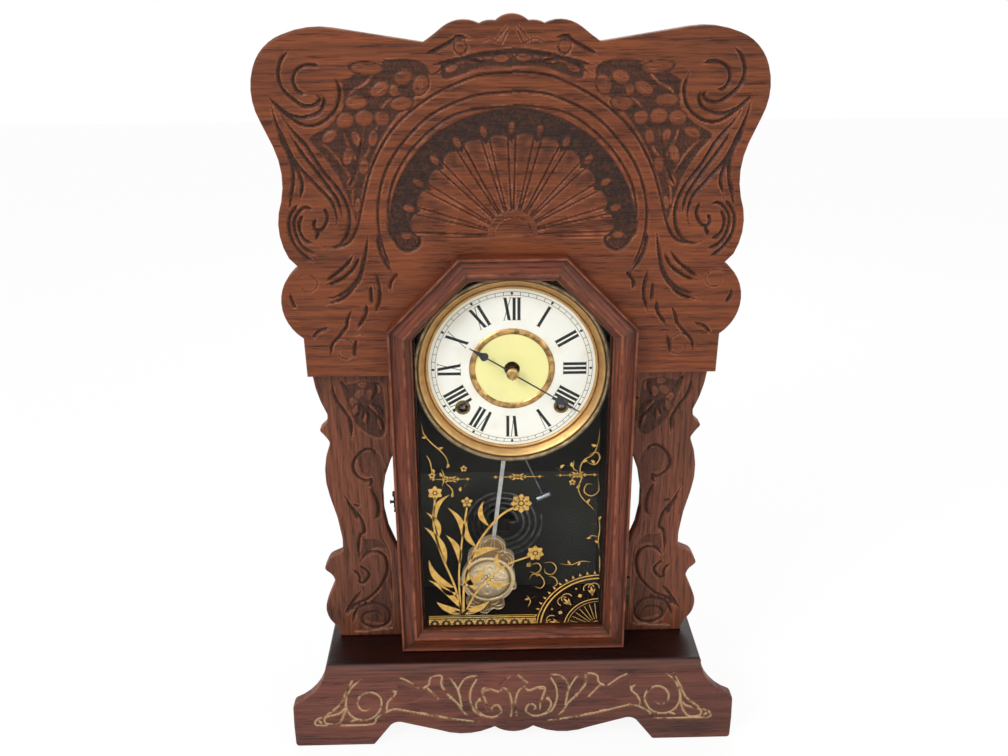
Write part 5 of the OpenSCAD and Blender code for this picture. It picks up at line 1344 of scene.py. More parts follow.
@dataclass
class Base:
    """The base: its carved apron, top board and side boards."""

    node: str = "base_apron"
    scrolls: tuple[str, ...] = (
        "-131 73 -140.5 63.5 -145.5 53 -146 40 -140 30.5 -130 28 -120.5 33 -115.5 44 -117.5 53.5 -125.5 58 -133.5 54"
        " -136.5 46 -133 39 -128 38.5 -124 42.5",
        "-139 72.5 -146 57.5 -152 45 -165.5 32.5",
        "-147 43.5 -151 37 -157.5 34 -165 31.5 -165.5 25.5 -157 23.8 -152 27.5 -148 37 -146.5 52",
        "-81 61 -74.5 63.5 -72 71.5 -63 73 -63 63.5 -56.5 52 -48.5 42.5 -44 34 -38.5 28.5",
        "-76 61.5 -70 54 -65 47.5",
        "-31.5 73 -41.5 70.5 -48 59.5 -47 50 -45.5 39.5",
        "-31.5 71 -37 59.5 -38 47 -33.5 34 -25.5 28.5",
        "-29 49 -33 42 -30.5 34 -24 29 -16.5 28.5 -11 33.5 -12.5 40 -16.5 41 -19.5 37 -16 33.5",
        "-23 33.5 -24 43.5 -27.5 57.5 -22.5 59.5 -13.5 56 -9.5 60",
        "-11 61.5 -4.5 55.5 -1.5 42.5 -2.5 27",
        "-3 73 -9.5 66.5 -13 63",
        "-99.5 72.5 -92 68.5 -82 60",
        "-106.5 60.5 -103 55 -108.5 48.5 -111 42.5 -111 36.5",
        "-56 71.5 -50 61 -46 48",
    )
    panel: str = ("-165.5 32.5 -173 29 -173.5 23.2 -158 22.8 -126 23 -119.5 30.5 -106 38.5 -97.5 37.5 -81 33"
                  " -55 27 -28 22.5")
    wax_spots: tuple[tuple[float, ...], ...] = (
        (-103, 57, 2.4, 1.6, 60), (-77, 61.5, 3, 1.4, 30), (-24, 57.5, 3, 1.2, 8), (-30, 47, 1.6, 3, 20),
        (-55, 50, 1.2, 2.6, -40), (-46, 40, 1.2, 3, -30), (-140, 28, 4, 1.5, 20), (-79, 33.5, 5, 1.1, -12),
        (-66, 30, 6, 1.0, -10), (-170, 26.5, 2.6, 1.8, -50),
    )

    def spot(self, x: float, z: float, reach: float, width: float, turn: float) -> Cut:
        """Short waxed cut at a place, turned by an angle in degrees."""
        way = polar(reach, math.radians(turn))
        return Cut(written([(x, z) - way, (x, z) + way]), width, width, 1.0, 0.3, 1.0)

    def build(self) -> None:
        """Carves the apron and finishes the boards."""
        marks = (
            Bed("-104 68 -96 66 -84 59 -78 60 -74 56 -84 47 -100 45 -106 50 -101 58", 0.7),
            Bed("-62 70 -60 58 -50 44 -46 52 -49 64 -40 71", 0.6),
            Bed("-113 56 -118 50 -116 40 -112 36 -110 46", 0.7),
            *(Cut(row, 1.35, 1.35, 1.2, 0.08, 1.0) for row in self.scrolls),
            *(self.spot(*row) for row in self.wax_spots),
            Cut(self.panel, 1.35, 1.35, 1.1, 0.03, 1.0),
        )
        CarvedBoard(self.node, APRON_OAK, marks, step=0.8).build()
        dress(PLINTH_OAK, "base_top_board")
        dress(DEEP_OAK, "base_side_boards")
        dress(BLOCK_PINE, "glue_blocks")


@dataclass
class Screw:
    """A slotted screw head whose face looks to the front."""

    radius: float = 1.6
    height: float = 0.35
    slot: float = 0.35

    def piece(self, name: str, x: float, y: float, z: float, finish: Finish, turn: float) -> bpy.types.Object:
        """The head with its face at y less its height, its slot turned by an angle in degrees."""
        sheet = Cutout(y - self.height, self.height)
        across = math.radians(turn)
        spin = np.array([[math.cos(across), math.sin(across)], [-math.sin(across), math.cos(across)]])
        for side in (0, math.pi):
            half = polar(self.radius, np.linspace(-math.pi / 2, math.pi / 2, 13) + side) + polar(self.slot / 2, side)
            sheet.add(half @ spin + (x, z))
        base = Cutout(y - self.height * 0.35, self.height * 0.35)
        base.dot(np.array([x, z]), self.radius, 20)
        first = len(sheet.places)
        sheet.places += base.places
        sheet.faces += [[first + i for i in face] for face in base.faces]
        return sheet.piece(name, finish)


@dataclass
class CaseBody:
    """Case boards, a dark sheet of painted shade inside the back and the nails of the back."""

    nail: float = 1.3

    def build(self) -> None:
        """Finishes the case."""
        dress(SIDE_OAK, "case_side_left", "case_side_right")
        dress(DEEP_OAK, "case_top_board")
        dress(BACK_PINE, "back_board")
        dress(BATTEN_PINE, "mounting_blocks")
        self.shade_sheet()
        self.nails()

    def shade_sheet(self) -> None:
        """Dark sheet on the inside of the back board, as painted shade."""
        low, high = box("back_board")
        sheet = Cutout(low.y - 0.3, 0.28)
        sheet.add(np.array([[low.x + 0.3, low.z + 0.3], [high.x - 0.3, low.z + 0.3],
                            [high.x - 0.3, high.z - 0.3], [low.x + 0.3, high.z - 0.3]]))
        seat(sheet.piece("case_lining", SHADE_SHEET), "root", "softwood")

    def nails(self) -> None:
        """Heads of the nails that hold the back board."""
        low, high = box("back_board")
        heads = Cutout(high.y - 0.02, 0.3)
        for x in (low.x + 5, high.x - 5):
            for z in np.linspace(low.z + 18, high.z - 18, 7):
                heads.dot(np.array([x, z]), self.nail, 12)
        for x in np.linspace(low.x + 30, high.x - 30, 4):
            for z in (low.z + 6, high.z - 6):
                heads.dot(np.array([x, z]), self.nail, 12)
        seat(heads.piece("back_nails", IRON), "root", "iron")


@dataclass
class Door:
    """The six-sided moulded door with its hinges, hook, pin and beads."""

    worn_top: float = 4.0
    worn_shoulder: float = 1.2
    rebate: float = 16.0
    profile: str = ("0 16 0 8 0 1.2 0.2 0.5 0.7 0.15 1.3 0.05 1.9 0.25 2.3 0.9 2.6 2.2 2.9 2.9 3.4 2.9 4.4 2.6"
                    " 6.5 1.9 9 1.0 11 0.35 12.0 0.05 12.9 0.1 13.4 0.5 14.0 1.4 15.0 2.4 16.2 3.5 17.1 4.5 17.4 5.0"
                    " 18.0 4.9 18.4 5.3 18.4 8.5 18.4 10 16 10 16 16")
    # The first bands lighten the edges of the moulding, as wear and painted highlight; the second darken its quirks, as
    # dust and painted shade.
    rubbed_and_highlit: tuple[tuple[float, ...], ...] = (
        (1.0, 0.8, 0.55, 2.0), (12.4, 0.8, 0.9, math.inf), (18.1, 0.4, 0.6, 8.0))
    dirty_and_shaded: tuple[tuple[float, ...], ...] = ((2.9, 0.45, 1.0, math.inf), (17.2, 0.5, 0.9, math.inf))

    def corners(self, inset: float, depth: float) -> Points:
        """Corners of the door outline drawn in by an inset, from the lower left one clockwise.

        Args:
            inset: Distance from the outline.
            depth: Distance behind the front; the rebate keeps the outline of the glass.

        Returns:
            The six corners.
        """
        stile, top = box("door_stile_left"), box("door_top_rail")
        x, low = -stile[0].x, box("door_bottom_rail")[0].z
        wear_and_highlight = 0.0 if inset == self.rebate and depth >= 10 else 1.0
        shoulder = stile[1].z - self.worn_shoulder * wear_and_highlight
        wide, high = top[1].x, top[1].z - self.worn_top * wear_and_highlight
        run = np.array([x - wide, high - shoulder])
        normal = np.array([run[1], run[0]]) / np.hypot(*run)
        level = normal @ (x, shoulder) - inset
        x, low, high = x - inset, low + inset, high - inset
        side = (level - normal[0] * x) / normal[1]
        narrow = (level - normal[1] * high) / normal[0]
        return np.array([[x, low], [-x, low], [-x, side], [-narrow, high], [narrow, high], [x, side]])

    @staticmethod
    def bands(rows: Iterable[Sequence[float]], inset: Points, depth: Points) -> Points:
        """Strength of some bands along the moulding: each a middle, a width, a strength and a greatest depth."""
        return sum(strength * np.exp(-((inset - middle) / width) ** 2) * (depth < deepest)
                   for middle, width, strength, deepest in rows)

    def member(self, index: int, along: int = 24) -> tuple[Points, list[list[int]], dict[str, Points]]:
        """Points, faces and marks of the member from one corner to the next, cut to its mitres."""
        profile = numbers(self.profile)
        front = box("door_stile_left")[0].y - profile[:, 1].min()
        share = np.linspace(0, 1, along)[:, None]
        rows = []
        for inset, depth in profile:
            ring = self.corners(inset, depth)
            a, b = ring[index], ring[(index + 1) % 6]
            flat = a + (b - a) * share
            rows.append(np.stack([flat[:, 0], np.full(along, front + depth), flat[:, 1]], 1))
        grid = np.array(rows).transpose(1, 0, 2)
        n = len(profile)
        faces = [[i * n + k, i * n + (k + 1) % n, (i + 1) * n + (k + 1) % n, (i + 1) * n + k]
                 for i in range(along - 1) for k in range(n)]
        faces += [list(reversed(range(n))), [(along - 1) * n + k for k in range(n)]]
        inset, depth = profile.T
        # Quirks darkened as dust and painted shade; the mitres darkened as dark joints.
        recess = self.bands(self.dirty_and_shaded, inset, depth)
        mitre = 0.5 * np.exp(-np.minimum(share, 1 - share) * 90)
        marks = {"wear_and_highlight": np.tile(self.bands(self.rubbed_and_highlit, inset, depth), along),
                 "recess": (recess[None] + mitre).clip(0, 1).reshape(-1)}
        return grid.reshape(-1, 3), faces, marks

    def part(self, node: str, finish: Finish, *members: int) -> None:
        """One node of the door from its members."""
        places, faces, marks = [], [], {"wear_and_highlight": [], "recess": []}
        for index in members:
            points, made, marked = self.member(index)
            first = sum(len(p) for p in places)
            places.append(points)
            faces += [[first + i for i in face] for face in made]
            for key, values in marked.items():
                marks[key].append(values)
        joined = {key: np.concatenate(values) for key, values in marks.items()}
        piece = mesh_object(node + "_moulded", np.concatenate(places) * MM, faces, finish, joined, 40)
        seat(piece, "door", "oak", node)

    def build(self) -> None:
        """Makes the members and finishes the fittings."""
        self.part("door_bottom_rail", DOOR_ACROSS, 0)
        self.part("door_stile_left", DOOR_UPRIGHT, 1)
        self.part("door_stile_right", DOOR_UPRIGHT, 5)
        self.part("door_top_rail", DOOR_ACROSS, 3)
        self.part("door_shoulder_rails", DOOR_SHOULDER, 2, 4)
        dress(BEAD_OAK, "glass_beads")
        dress(HINGE_BRASS, "hinge_case_leaves", "hinge_door_leaves")
        dress(HOOK_BRASS, "door_hook", "door_catch_pin", "hook_screw")
        dress(GLASS, "door_glass")
        self.hinge_screws()

    def hinge_screws(self) -> None:
        """Screw heads in the case leaves, which show when the door stands open."""
        low, high = box("hinge_case_leaves")
        face = max(low.y + 2.0, box("case_side_right")[0].y)
        for k, z in enumerate((low.z + 5, low.z + 21, high.z - 21, high.z - 5)):
            head = Screw(1.5, 0.2).piece(f"hinge_screw_{k}", low.x + 3.5, face, z, STEEL, 25 + 40 * k)
            seat(head, "root", "steel")


@dataclass
class Tablet:
    """The gilding on the back of the glass: borders, corner fan, scrolls and a plant spray."""

    left: float = -73.0
    right: float = 74.0
    foot: float = 104.6

    def build(self) -> None:
        """Lays all the gilding on the glass."""
        self.sheet = Cutout(box("door_glass")[1].y + 0.02, 0.06)
        self.border()
        self.corner_fan()
        self.upper_scrolls()
        self.side_twigs()
        self.spray()
        seat(self.sheet.piece("tablet_gilding", GILT), "door", "brass")

    def line(self, text: str, width: float = 0.9, pointed: bool = True) -> None:
        """A gilt line through some places."""
        self.sheet.ribbon(spline(numbers(text), 7), width, pointed)

    def sprigs(self, rows: Iterable[Sequence[float]], length: float, width: float, bend: float) -> None:
        """Small leaves, each at a place and in a direction in degrees."""
        for x, z, turn in rows:
            foot = np.array([x, z])
            self.sheet.leaf(foot, foot + polar(length, math.radians(turn)), width, bend)

    def border(self) -> None:
        """Gilt band with dark rosettes along the foot, under two lines."""
        sheet, end = self.sheet, 20.0
        for z, width in ((self.foot + 5.7, 10.6), (self.foot + 12.6, 0.9), (self.foot + 14.4, 0.5)):
            sheet.ribbon(np.array([[self.left, z], [-20, z], [end, z]]), width)
        dark = Cutout(box("door_glass")[1].y + 0.004, 0.01)
        middle = self.foot + 6.6
        for x in np.arange(self.left + 5, end - 2, 9.9):
            centre = np.array([x, middle])
            dark.rosette(centre, 4.5, 8)
            dark.rosette(centre + (4.95, 3.6), 1.3, 4)
            dark.rosette(centre + (4.95, -3.6), 1.3, 4)
        seat(dark.piece("tablet_rosettes", TABLET_DARK), "door", "brass")

    def corner_fan(self) -> None:
        """Quarter fan in the lower right corner."""
        sheet, centre = self.sheet, np.array([self.right, self.foot])
        for radius, width in ((50.2, 1.3), (53.4, 1.0), (29.5, 0.8), (26.8, 0.4), (6.5, 0.9)):
            sheet.arc(centre, radius, 90, 180, width)
        for angle in np.arange(94, 180, 6.5):
            out, way = polar(1.0, math.radians(angle)), polar(1.0, math.radians(angle + 90))
            sheet.add(centre + np.array([out * 55 - way * 1.1, out * 55 + way * 1.1, out * 58.2]))
        for angle in np.arange(97, 180, 11):
            out = polar(1.0, math.radians(angle))
            sheet.ribbon(centre + np.outer(np.linspace(9, 25, 5), out), 0.45)
        for k, angle in enumerate((99, 116, 135, 154, 171)):
            out, way = polar(1.0, math.radians(angle)), polar(1.0, math.radians(angle + 90))
            if k % 2:
                sheet.dot(centre + out * 36.5, 2.1, 4, angle)
                sheet.dot(centre + out * 44.5, 0.9)
                continue
            for side in (-1, 1):
                curl = centre + out * 41 + way * side * 2.2
                turn = math.radians(angle + side * 20)
                sheet.arc(curl, 4.6, math.degrees(turn) - 100 * side, math.degrees(turn) + 90 * side, 0.7, 16)
                sheet.leaf(centre + out * 35, centre + out * 40 + way * side * 3.2, 1.6)
            sheet.leaf(centre + out * 33, centre + out * 43, 2.4)

    def upper_scrolls(self) -> None:
        """Bars, knots and vines below the dial."""
        sheet = self.sheet
        for start, end, z in ((-69, -33, 252.5), (-18, 26, 253.8), (35, 71, 254.6)):
            middle = (start + end) / 2
            sheet.ribbon(np.linspace([start, z], [end, z], 9), 0.7, True)
            for x, size in ((start + 4, 1.4), (middle - 6, 1.6), (middle, 2.6), (middle + 6, 1.6), (end - 4, 1.4)):
                sheet.dot(np.array([x, z]), size, 4)
            for side in (-1, 1):
                sheet.leaf(np.array([middle, z]), np.array([middle + 5 * side, z + 3]), 1.5)
                sheet.leaf(np.array([middle, z]), np.array([middle + 5 * side, z - 3]), 1.5)
        for row in ("-73 303 -71.5 294 -66 286 -59 279 -54 272 -52 264", "-70 275 -67 268 -66 258",
                    "-58 262 -56 254 -58 246", "-55 249 -50 243 -49 236", "-40 245 -37 249",
                    "70 296 69.5 286 66 274 58 268 55 260 56.5 252 54 243 57 234 65 225 68 221",
                    "70 251 71 240 65 235 59 239 61 246 66 245.5",
                    "62 273 68 275 71 270 67 264 61 266", "50 268 49.5 261 53 258", "35 262 40 258"):
            self.line(row)
        self.sprigs(((-69, 292, 200), (-60, 279, 30), (-52.5, 267, 250), (-66, 262, 290), (-57, 255, 120),
                     (-50, 240, 260), (-43, 241, 80), (68, 281, 160), (57, 266, 20), (55, 246, 230), (62, 228, 60),
                     (49, 262, 100), (39, 261, 40), (64, 268, 300)), 4.6, 2.2, 0.15)
        for x, z in ((-66, 256), (-40, 262), (49, 248)):
            sheet.rosette(np.array([x, z]), 3.0, 5)

    def side_twigs(self) -> None:
        """Thin line with twigs up the right side, and the scroll pair left of the fan."""
        for row in ("74 160 74 170 73.5 178", "73 184 72 193 73 204 71.5 216", "72 196 66 197 65 194",
                    "72 207 66 209", "40 170 50 169 58 172 66 171.5",
                    "15 169 21 171 24 166 20 161 14.5 163", "26 171 33 171.5 37 166 34 160 28 161 27 166",
                    "14 155 17 160 24 158 27 151 24 146 18 148", "30 158 36 156 38 150 34 146.5",
                    "12 139 15 133 13 127", "16 136 20 138"):
            self.line(row, 0.8)
        self.sprigs(((72.5, 190, 140), (72, 212, 60), (66, 196, 200), (49, 169.5, 120), (57, 171.5, 240),
                     (14.5, 168, 90), (14, 136, 200), (20, 158, 30)), 4.2, 1.9, 0.1)
        self.sheet.dot(np.array([13.5, 169.5]), 2.4, 4, 45)

    def spray(self) -> None:
        """Generic plant: arching stems with long leaves and two round blossoms."""
        sheet = self.sheet
        root = np.array([-44.0, 121.5])
        stems = ("-44 121 -50 150 -60 180 -66 210 -64 236", "-43 121 -41 155 -30 190 -12 216 2 226",
                 "-45 121 -46 160 -42 200 -38 226", "-42 121 -30 145 -8 168 14 178")
        for row, width in zip(stems, (1.7, 1.9, 1.5, 1.6)):
            self.line(row, width, False)
        leaves = ((-50, 148, -71, 176, 6.4, 0.16), (-57, 172, -74, 208, 6, -0.12), (-47, 142, -62, 150, 4.6, 0.2),
                  (-43, 150, -24, 168, 6.6, -0.14), (-36, 176, -12, 186, 6, 0.14), (-31, 188, -38, 214, 5, 0.16),
                  (-45, 172, -56, 200, 5.4, -0.12), (-42, 196, -54, 226, 5, -0.14), (-20, 208, -24, 232, 4.6, 0.2),
                  (-30, 145, -38, 168, 4.8, 0.18), (-22, 154, -2, 152, 5.4, -0.16), (-10, 166, -12, 182, 4.4, 0.2),
                  (-44, 124, -66, 134, 6.4, 0.12), (-43, 124, -20, 134, 6.2, -0.12), (-46, 128, -72, 156, 5.6, -0.08),
                  (-62, 198, -72, 222, 4.4, -0.16), (-64, 214, -52, 238, 4.4, 0.18))
        for x0, z0, x1, z1, width, bend in leaves:
            sheet.leaf(np.array([x0, z0]), np.array([x1, z1]), width, bend)
        for x, z, size, petals in ((-64, 240, 6.5, 6), (7, 229, 9.0, 8), (19, 181, 7.5, 7), (-38, 231, 5.0, 5)):
            sheet.rosette(np.array([x, z]), size, petals)
            sheet.dot(np.array([x, z]), size * 0.2)
        for side in (-1, 1):
            sheet.leaf(root, root + (12 * side, 0.6), 2.6)
            sheet.leaf(root, root + (7 * side, 3.5), 2.2)


@dataclass
class Dial:
    """Dial, numerals, minute track, bezel, ring, grommets and hands."""

    z: float = 342.5
    inner: float = 41.2
    outer: float = 59.5
    track_in: float = 61.5
    track_out: float = 64.4
    thick: float = 2.4
    thin: float = 0.5
    gap: float = 1.4
    bead: float = 68.3
    dish: str = "3.65 2.7 3.9 2.5 4.4 2.0 5.0 1.9 5.8 2.4 7.0 3.7 8.2 5.2 9.0 6.0"
    hours: tuple[str, ...] = ("XII", "I", "II", "III", "IIII", "V", "VI", "VII", "VIII", "IX", "X", "XI")

    def build(self) -> None:
        """Prints the dial and finishes the metal."""
        face = box("dial_plate")[0].y
        self.ink = Cutout(face - 0.1, 0.09)
        self.numerals()
        self.minutes()
        seat(self.ink.piece("dial_printing", INK), "root", "hands")
        self.bezel()
        dress(DIAL, "dial_plate")
        dress(RING_BRASS, "dial_ring")
        dress(GROMMET_BRASS, "winding_grommets")
        dress(HAND_STEEL, "minute_hand", "hour_hand")
        dress(NUT_BRASS, "hand_nut")

    def put(self, hour: int, ring: Points) -> None:
        """Adds a shape drawn upright at twelve, as sideways and outward places, turned to its hour."""
        angle = math.radians(30 * hour)
        turn = np.array([[math.cos(angle), -math.sin(angle)], [math.sin(angle), math.cos(angle)]])
        self.ink.add(ring @ turn + (0, self.z))

    def slanted(self, hour: int, top: float, foot: float, width: float) -> None:
        """Adds a straight stroke from its place at the top to its place at the foot."""
        half = width / 2
        self.put(hour, np.array([[top - half, self.outer], [top + half, self.outer],
                                 [foot + half, self.inner], [foot - half, self.inner]]))

    def serif(self, hour: int, start: float, end: float, height: float) -> None:
        """Adds a hair line across the end of a stroke."""
        self.put(hour, np.array([[start, height - 0.14], [end, height - 0.14], [end, height + 0.14],
                                 [start, height + 0.14]]))

    def numerals(self) -> None:
        """Roman numerals with their feet to the centre."""
        wide = {"I": self.thick, "V": 5.6, "X": 5.8}
        for hour, text in enumerate(self.hours):
            x = -(sum(wide[c] for c in text) + self.gap * (len(text) - 1)) / 2
            for glyph in text:
                width = wide[glyph]
                near, far = x + self.thick / 2, x + width - self.thin / 2
                if glyph == "I":
                    self.slanted(hour, near, near, self.thick)
                    self.serif(hour, x - 0.7, x + width + 0.7, self.outer)
                    self.serif(hour, x - 0.7, x + width + 0.7, self.inner)
                elif glyph == "V":
                    foot = x + width / 2
                    self.slanted(hour, near, foot + 0.2, self.thick)
                    self.slanted(hour, far, foot + 0.5, self.thin)
                    self.serif(hour, x - 0.6, x + self.thick + 0.6, self.outer)
                    self.serif(hour, far - 0.9, far + 0.9, self.outer)
                else:
                    self.slanted(hour, near, far - self.thick / 2 + 0.2, self.thick)
                    self.slanted(hour, far, x + self.thin, self.thin)
                    for start in (x - 0.5, x + width - 1.4):
                        self.serif(hour, start, start + 2.2, self.outer)
                        self.serif(hour, start, start + 2.2, self.inner)
                x += width + self.gap

    def minutes(self) -> None:
        """Double minute track with a mark at each five minutes."""
        centre = np.array([0.0, self.z])
        for radius in (self.track_in, self.track_out):
            self.ink.ring(centre, radius, 0.28)
        for minute in range(60):
            angle = math.radians(90 - 6 * minute)
            out, way = polar(1.0, angle), polar(1.0, angle + math.pi / 2)
            if minute % 5:
                self.ink.ribbon(centre + np.outer([self.track_in, self.track_out], out), 0.36)
            else:
                near, far = out * self.track_in, out * (self.track_out + 0.5)
                side, middle = way * 1.15, (near + far) / 2
                self.ink.add(centre + np.array([near, middle + side, far, middle - side]))

    def bezel(self) -> None:
        """Turned brass bezel with a rolled rim and a dished inner face."""
        low, high = box("dial_bezel")
        radius, front, face = high.x, low.y, box("dial_plate")[0].y
        rows = [(radius, high.y), (radius, high.y - 0.8), (radius - 1.6, high.y - 1.2), (radius - 1.6, front + 3.2)]
        rows += [(radius - 1.75 + 1.75 * math.cos(a), front + 1.75 - 1.75 * math.sin(a))
                 for a in np.radians(np.linspace(-70, 180, 13))]
        rows += [(radius - 3.6, front + 2.6), (radius - 3.6, high.y)]
        # The recess mark darkens the brass at the back and under the rolled rim: tarnish, and painted shade.
        recess = [0.3] * 4 + [0.0] * 13 + [1.0] * 2
        seat(Lathe(rows, 160).piece("bezel_rim", 0.0, self.z, RIM_BRASS, {"recess": recess}), "root", "brass")
        rows = [(radius - 3.65, high.y - 0.4), *((radius - a, front + b) for a, b in numbers(self.dish)),
                (radius - 9.3, face - 0.8), (radius - 9.5, face - 0.9)]
        rows += [(self.bead + 1.2 * math.cos(a), face - 0.6 - 1.2 * math.sin(a))
                 for a in np.radians(np.linspace(20, 180, 9))]
        rows += [(67.1, face - 0.02), (72.0, face - 0.02), (72.0, high.y - 0.4)]
        # The recess mark darkens the brass under the rim and in the crease at the foot of the dish: tarnish, and
        # painted shade.
        recess = [1.0] * 3 + [0.1] + [0.0] * 5 + [0.8, 1.0] + [0.0] * 9 + [0.9, 0.3, 0.3]
        piece = Lathe(rows, 160).piece("bezel_turned", 0.0, self.z, BEZEL_BRASS, {"recess": recess})
        seat(piece, "root", "brass", "dial_bezel")


@dataclass
class Pendulum:
    """Rod, spring and the embossed bob."""

    disc: float = 24.0
    drop: float = 176.0
    hang: float = 310.0
    angle: float = 6.8

    def local(self, at: Points) -> Points:
        """Places measured from the middle of the bob as it hangs straight, mirrored to its left half."""
        turn = math.radians(self.angle)
        run = at - (0, self.hang)
        u = run[:, 0] * math.cos(turn) - run[:, 1] * math.sin(turn)
        v = run[:, 0] * math.sin(turn) + run[:, 1] * math.cos(turn)
        return np.stack([-np.abs(u), v + self.drop], 1)

    def body(self, at: Points) -> Points:
        """Depth of the plain bob: a low dome inside a round rim, on a plate of lobes."""
        radius = np.hypot(*at.T)
        dome = 1.0 * (radius / 19) ** 2 + 0.9 * soft((radius - 17.5) / 2)
        rim = 0.3 + 2.2 * (np.abs(radius - 21.6) / 2.4) ** 2
        disc = np.where(radius < 19.6, dome, np.minimum(rim, 2.6))
        return np.where(radius < self.disc, disc, 1.6)

    def ornament(self) -> tuple:
        """Raised scrolls and leaves."""
        marks: list = []
        for turn in range(30, 360, 60):
            curl = polar(11.2, math.radians(turn)) + polar(
                np.linspace(5.2, 1.0, 12), np.linspace(0, 2.6 * math.pi, 12) + math.radians(turn + 180))
            marks.append(Cut(written(curl), 1.1, 1.1, -0.9, 0.1))
        for turn in range(15, 375, 30):
            out = polar(1.0, math.radians(turn))
            row = (out * 5.0, out * 9.5 + polar(1.4, math.radians(turn + 75)), out * 17.2)
            marks.append(Cut(written(row), 0.9, 0.9, -0.7, 0.3))
        marks += [Pad(*polar(3.6, math.radians(turn)), 1.7, 1.0, turn, 0.0) for turn in range(0, 360, 45)]
        for turn in range(0, 360, 9):
            out = polar(21.6, math.radians(turn))
            marks.append(Cut(written((out * 0.95, out * 1.06)), 0.5, 0.5, 0.9, 0.2))
        rows = ("0 42 -1.5 36 -1 30", "-2 41 -7 38 -9 33 -5.5 29 -2.5 30", "-5 27 -10 31 -11 27 -7 25",
                "-13 27 -18 23 -17.5 18.5 -14 20", "-12 24 -15 22 -16 18", "-23 -3 -22 -7",
                "-16 -20 -15.5 -25 -10 -27 -9 -24", "-8 -27 -4 -31 0 -33", "-3 -27 -2 -30 0 -34",
                "-13 -21 -9 -25 -4 -26", "-4 35 -6 32", "-9 29.5 -13 29 -12.5 26")
        marks += cuts(rows, left=0.9, right=0.9, depth=-0.9, taper=0.25)
        marks += [Cut(row, 0.7, 0.7, 2.4, 0.2) for row in ("-3 38 -5 34 -3.5 31", "-8 34 -7 30", "-15 23 -14 19",
                                                          "-12 -24 -8 -27", "-1 27 -4 28 -9 27.5")]
        return tuple(marks)

    def build(self) -> None:
        """Presses the bob and finishes the rod."""
        CarvedBoard("pendulum_bob", BOB_METAL, self.ornament(), step=0.55, edge=0.9, coarse=2, reserve=0.9,
                    body="pendulum", slot="bob", settle=self.local, base=self.body).build()
        self.strip()
        dress(ROD_STEEL, "pendulum_rod")
        dress(STEEL, "suspension_spring")

    def strip(self) -> None:
        """Flat bright strip on the front of the rod, from below the crutch to the crown of the bob."""
        turn = math.radians(self.angle)
        down, across = np.array([-math.sin(turn), -math.cos(turn)]), np.array([math.cos(turn), -math.sin(turn)])
        low, high = box("pendulum_bob")
        sheet = Cutout((low.y + high.y) / 2 - 1.3, 0.9)
        top = np.array([0.0, self.hang])
        sheet.add(np.array([top + down * 30 + across * 1.7, top + down * (self.drop - 41) + across * 1.7,
                            top + down * (self.drop - 41) - across * 1.7, top + down * 30 - across * 1.7]))
        seat(sheet.piece("pendulum_strip", ROD_STEEL), "pendulum", "steel")


@dataclass
class Movement:
    """Finishes of the movement, the gong and the hammer."""

    brass: tuple[str, ...] = ("front_plate", "back_plate", "centre_wheel", "minute_wheel", "hour_wheel",
                              "time_second_wheel", "time_main_wheel", "time_third_wheel", "escape_wheel",
                              "strike_main_wheel", "strike_second_wheel", "strike_pin_wheel", "warning_wheel",
                              "strike_fly", "count_wheel")
    steel: tuple[str, ...] = ("plate_pillars", "wood_screws", "time_winding_arbor", "strike_winding_arbor",
                              "time_click", "strike_click", "mainsprings", "verge_and_crutch")

    def build(self) -> None:
        """Finishes the nodes."""
        dress(PLATE_BRASS, *self.brass)
        dress(STEEL, *self.steel)
        dress(IRON, "gong_base")
        dress(GONG_STEEL, "gong_coil")
        dress(HAMMER_STEEL, "strike_hammer")


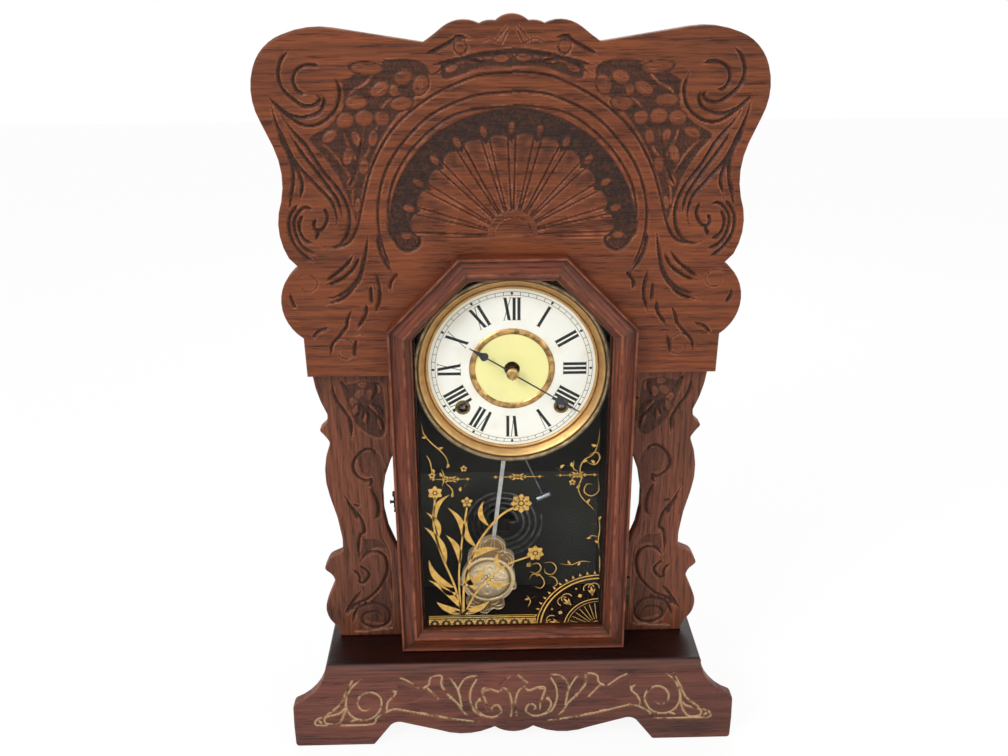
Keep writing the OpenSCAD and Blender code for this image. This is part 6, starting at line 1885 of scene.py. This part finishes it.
@dataclass
class Stage:
    """Floor, world, lamps and the camera at the photograph's place."""

    place: tuple[float, float, float] = (-0.0245, -0.7644, 0.6358)
    yaw: float = 1.39
    pitch: float = 22.02
    roll: float = -0.26
    lens: float = 35.714
    key: float = 12.0
    fill: float = 4.0
    warm: tuple[float, float, float] = (1.0, 0.91, 0.78)
    room: float = 0.65
    half: float = 4.0

    def camera(self) -> None:
        """Camera that sees the clock as the photograph does."""
        yaw, pitch, roll = (math.radians(a) for a in (self.yaw, self.pitch, self.roll))
        ahead = Vector((math.sin(yaw) * math.cos(pitch), math.cos(yaw) * math.cos(pitch), -math.sin(pitch)))
        right = Vector((math.cos(yaw), -math.sin(yaw), 0.0))
        up = right.cross(ahead)
        side, top = right * math.cos(roll) + up * math.sin(roll), up * math.cos(roll) - right * math.sin(roll)
        turn = Matrix((side, top, -ahead)).transposed().to_4x4()
        data = bpy.data.cameras.new("Camera")
        data.lens, data.sensor_width, data.clip_start = self.lens, 36.0, 0.01
        camera = bpy.data.objects.new("Camera", data)
        camera.matrix_world = Matrix.Translation(self.place) @ turn
        bpy.context.scene.collection.objects.link(camera)
        bpy.context.scene.camera = camera

    def lamp(self, name: str, place: tuple[float, float, float], size: float, power: float,
             tint: tuple[float, float, float] = (1.0, 1.0, 1.0)) -> None:
        """Square soft lamp that looks at the middle of the clock."""
        data = bpy.data.lights.new(name, "AREA")
        data.size, data.energy, data.color = size, power, tint
        lamp = bpy.data.objects.new(name, data)
        run = Vector((0.0, 0.0, 0.3)) - Vector(place)
        lamp.matrix_world = Matrix.Translation(place) @ run.to_track_quat("-Z", "Y").to_matrix().to_4x4()
        bpy.context.scene.collection.objects.link(lamp)

    def build(self) -> None:
        """Makes the floor, the light and the camera."""
        corners = np.array([[-1, -1, 0], [1, -1, 0], [1, 1, 0], [-1, 1, 0]]) * self.half
        floor = mesh_object("floor", corners, [[0, 1, 2, 3]], FLOOR)
        world = bpy.data.worlds.new("Room")
        bpy.context.scene.world = world
        world.use_nodes = True
        graph = Graph(world.node_tree)
        backdrop = world.node_tree.nodes["Background"]
        graph.feed(backdrop.inputs["Strength"], graph.range(graph.look(), 0, 1, self.room, 1.0))
        backdrop.inputs["Color"].default_value = (1, 1, 1, 1)
        self.lamp("Key", (-0.9, -1.1, 1.35), 0.5, self.key)
        self.lamp("Fill", (1.1, -1.2, 0.7), 0.9, self.fill, self.warm)
        self.lamp("Back", (0.3, 1.3, 1.3), 0.9, self.fill)
        self.camera()
        bpy.context.scene.view_settings.view_transform = "Standard"


def main() -> None:
    """Builds and dresses the clock, sub-assembly by sub-assembly."""
    logging.basicConfig(level=logging.INFO, format="%(name)s: %(message)s")
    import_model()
    for part in (Stage(), CaseBody(), Crest(), Wings(), Base(), Door(), Tablet(), Dial(), Pendulum(), Movement()):
        part.build()
        log.info("built %s", type(part).__name__)


if __name__ == "__main__":
    main()
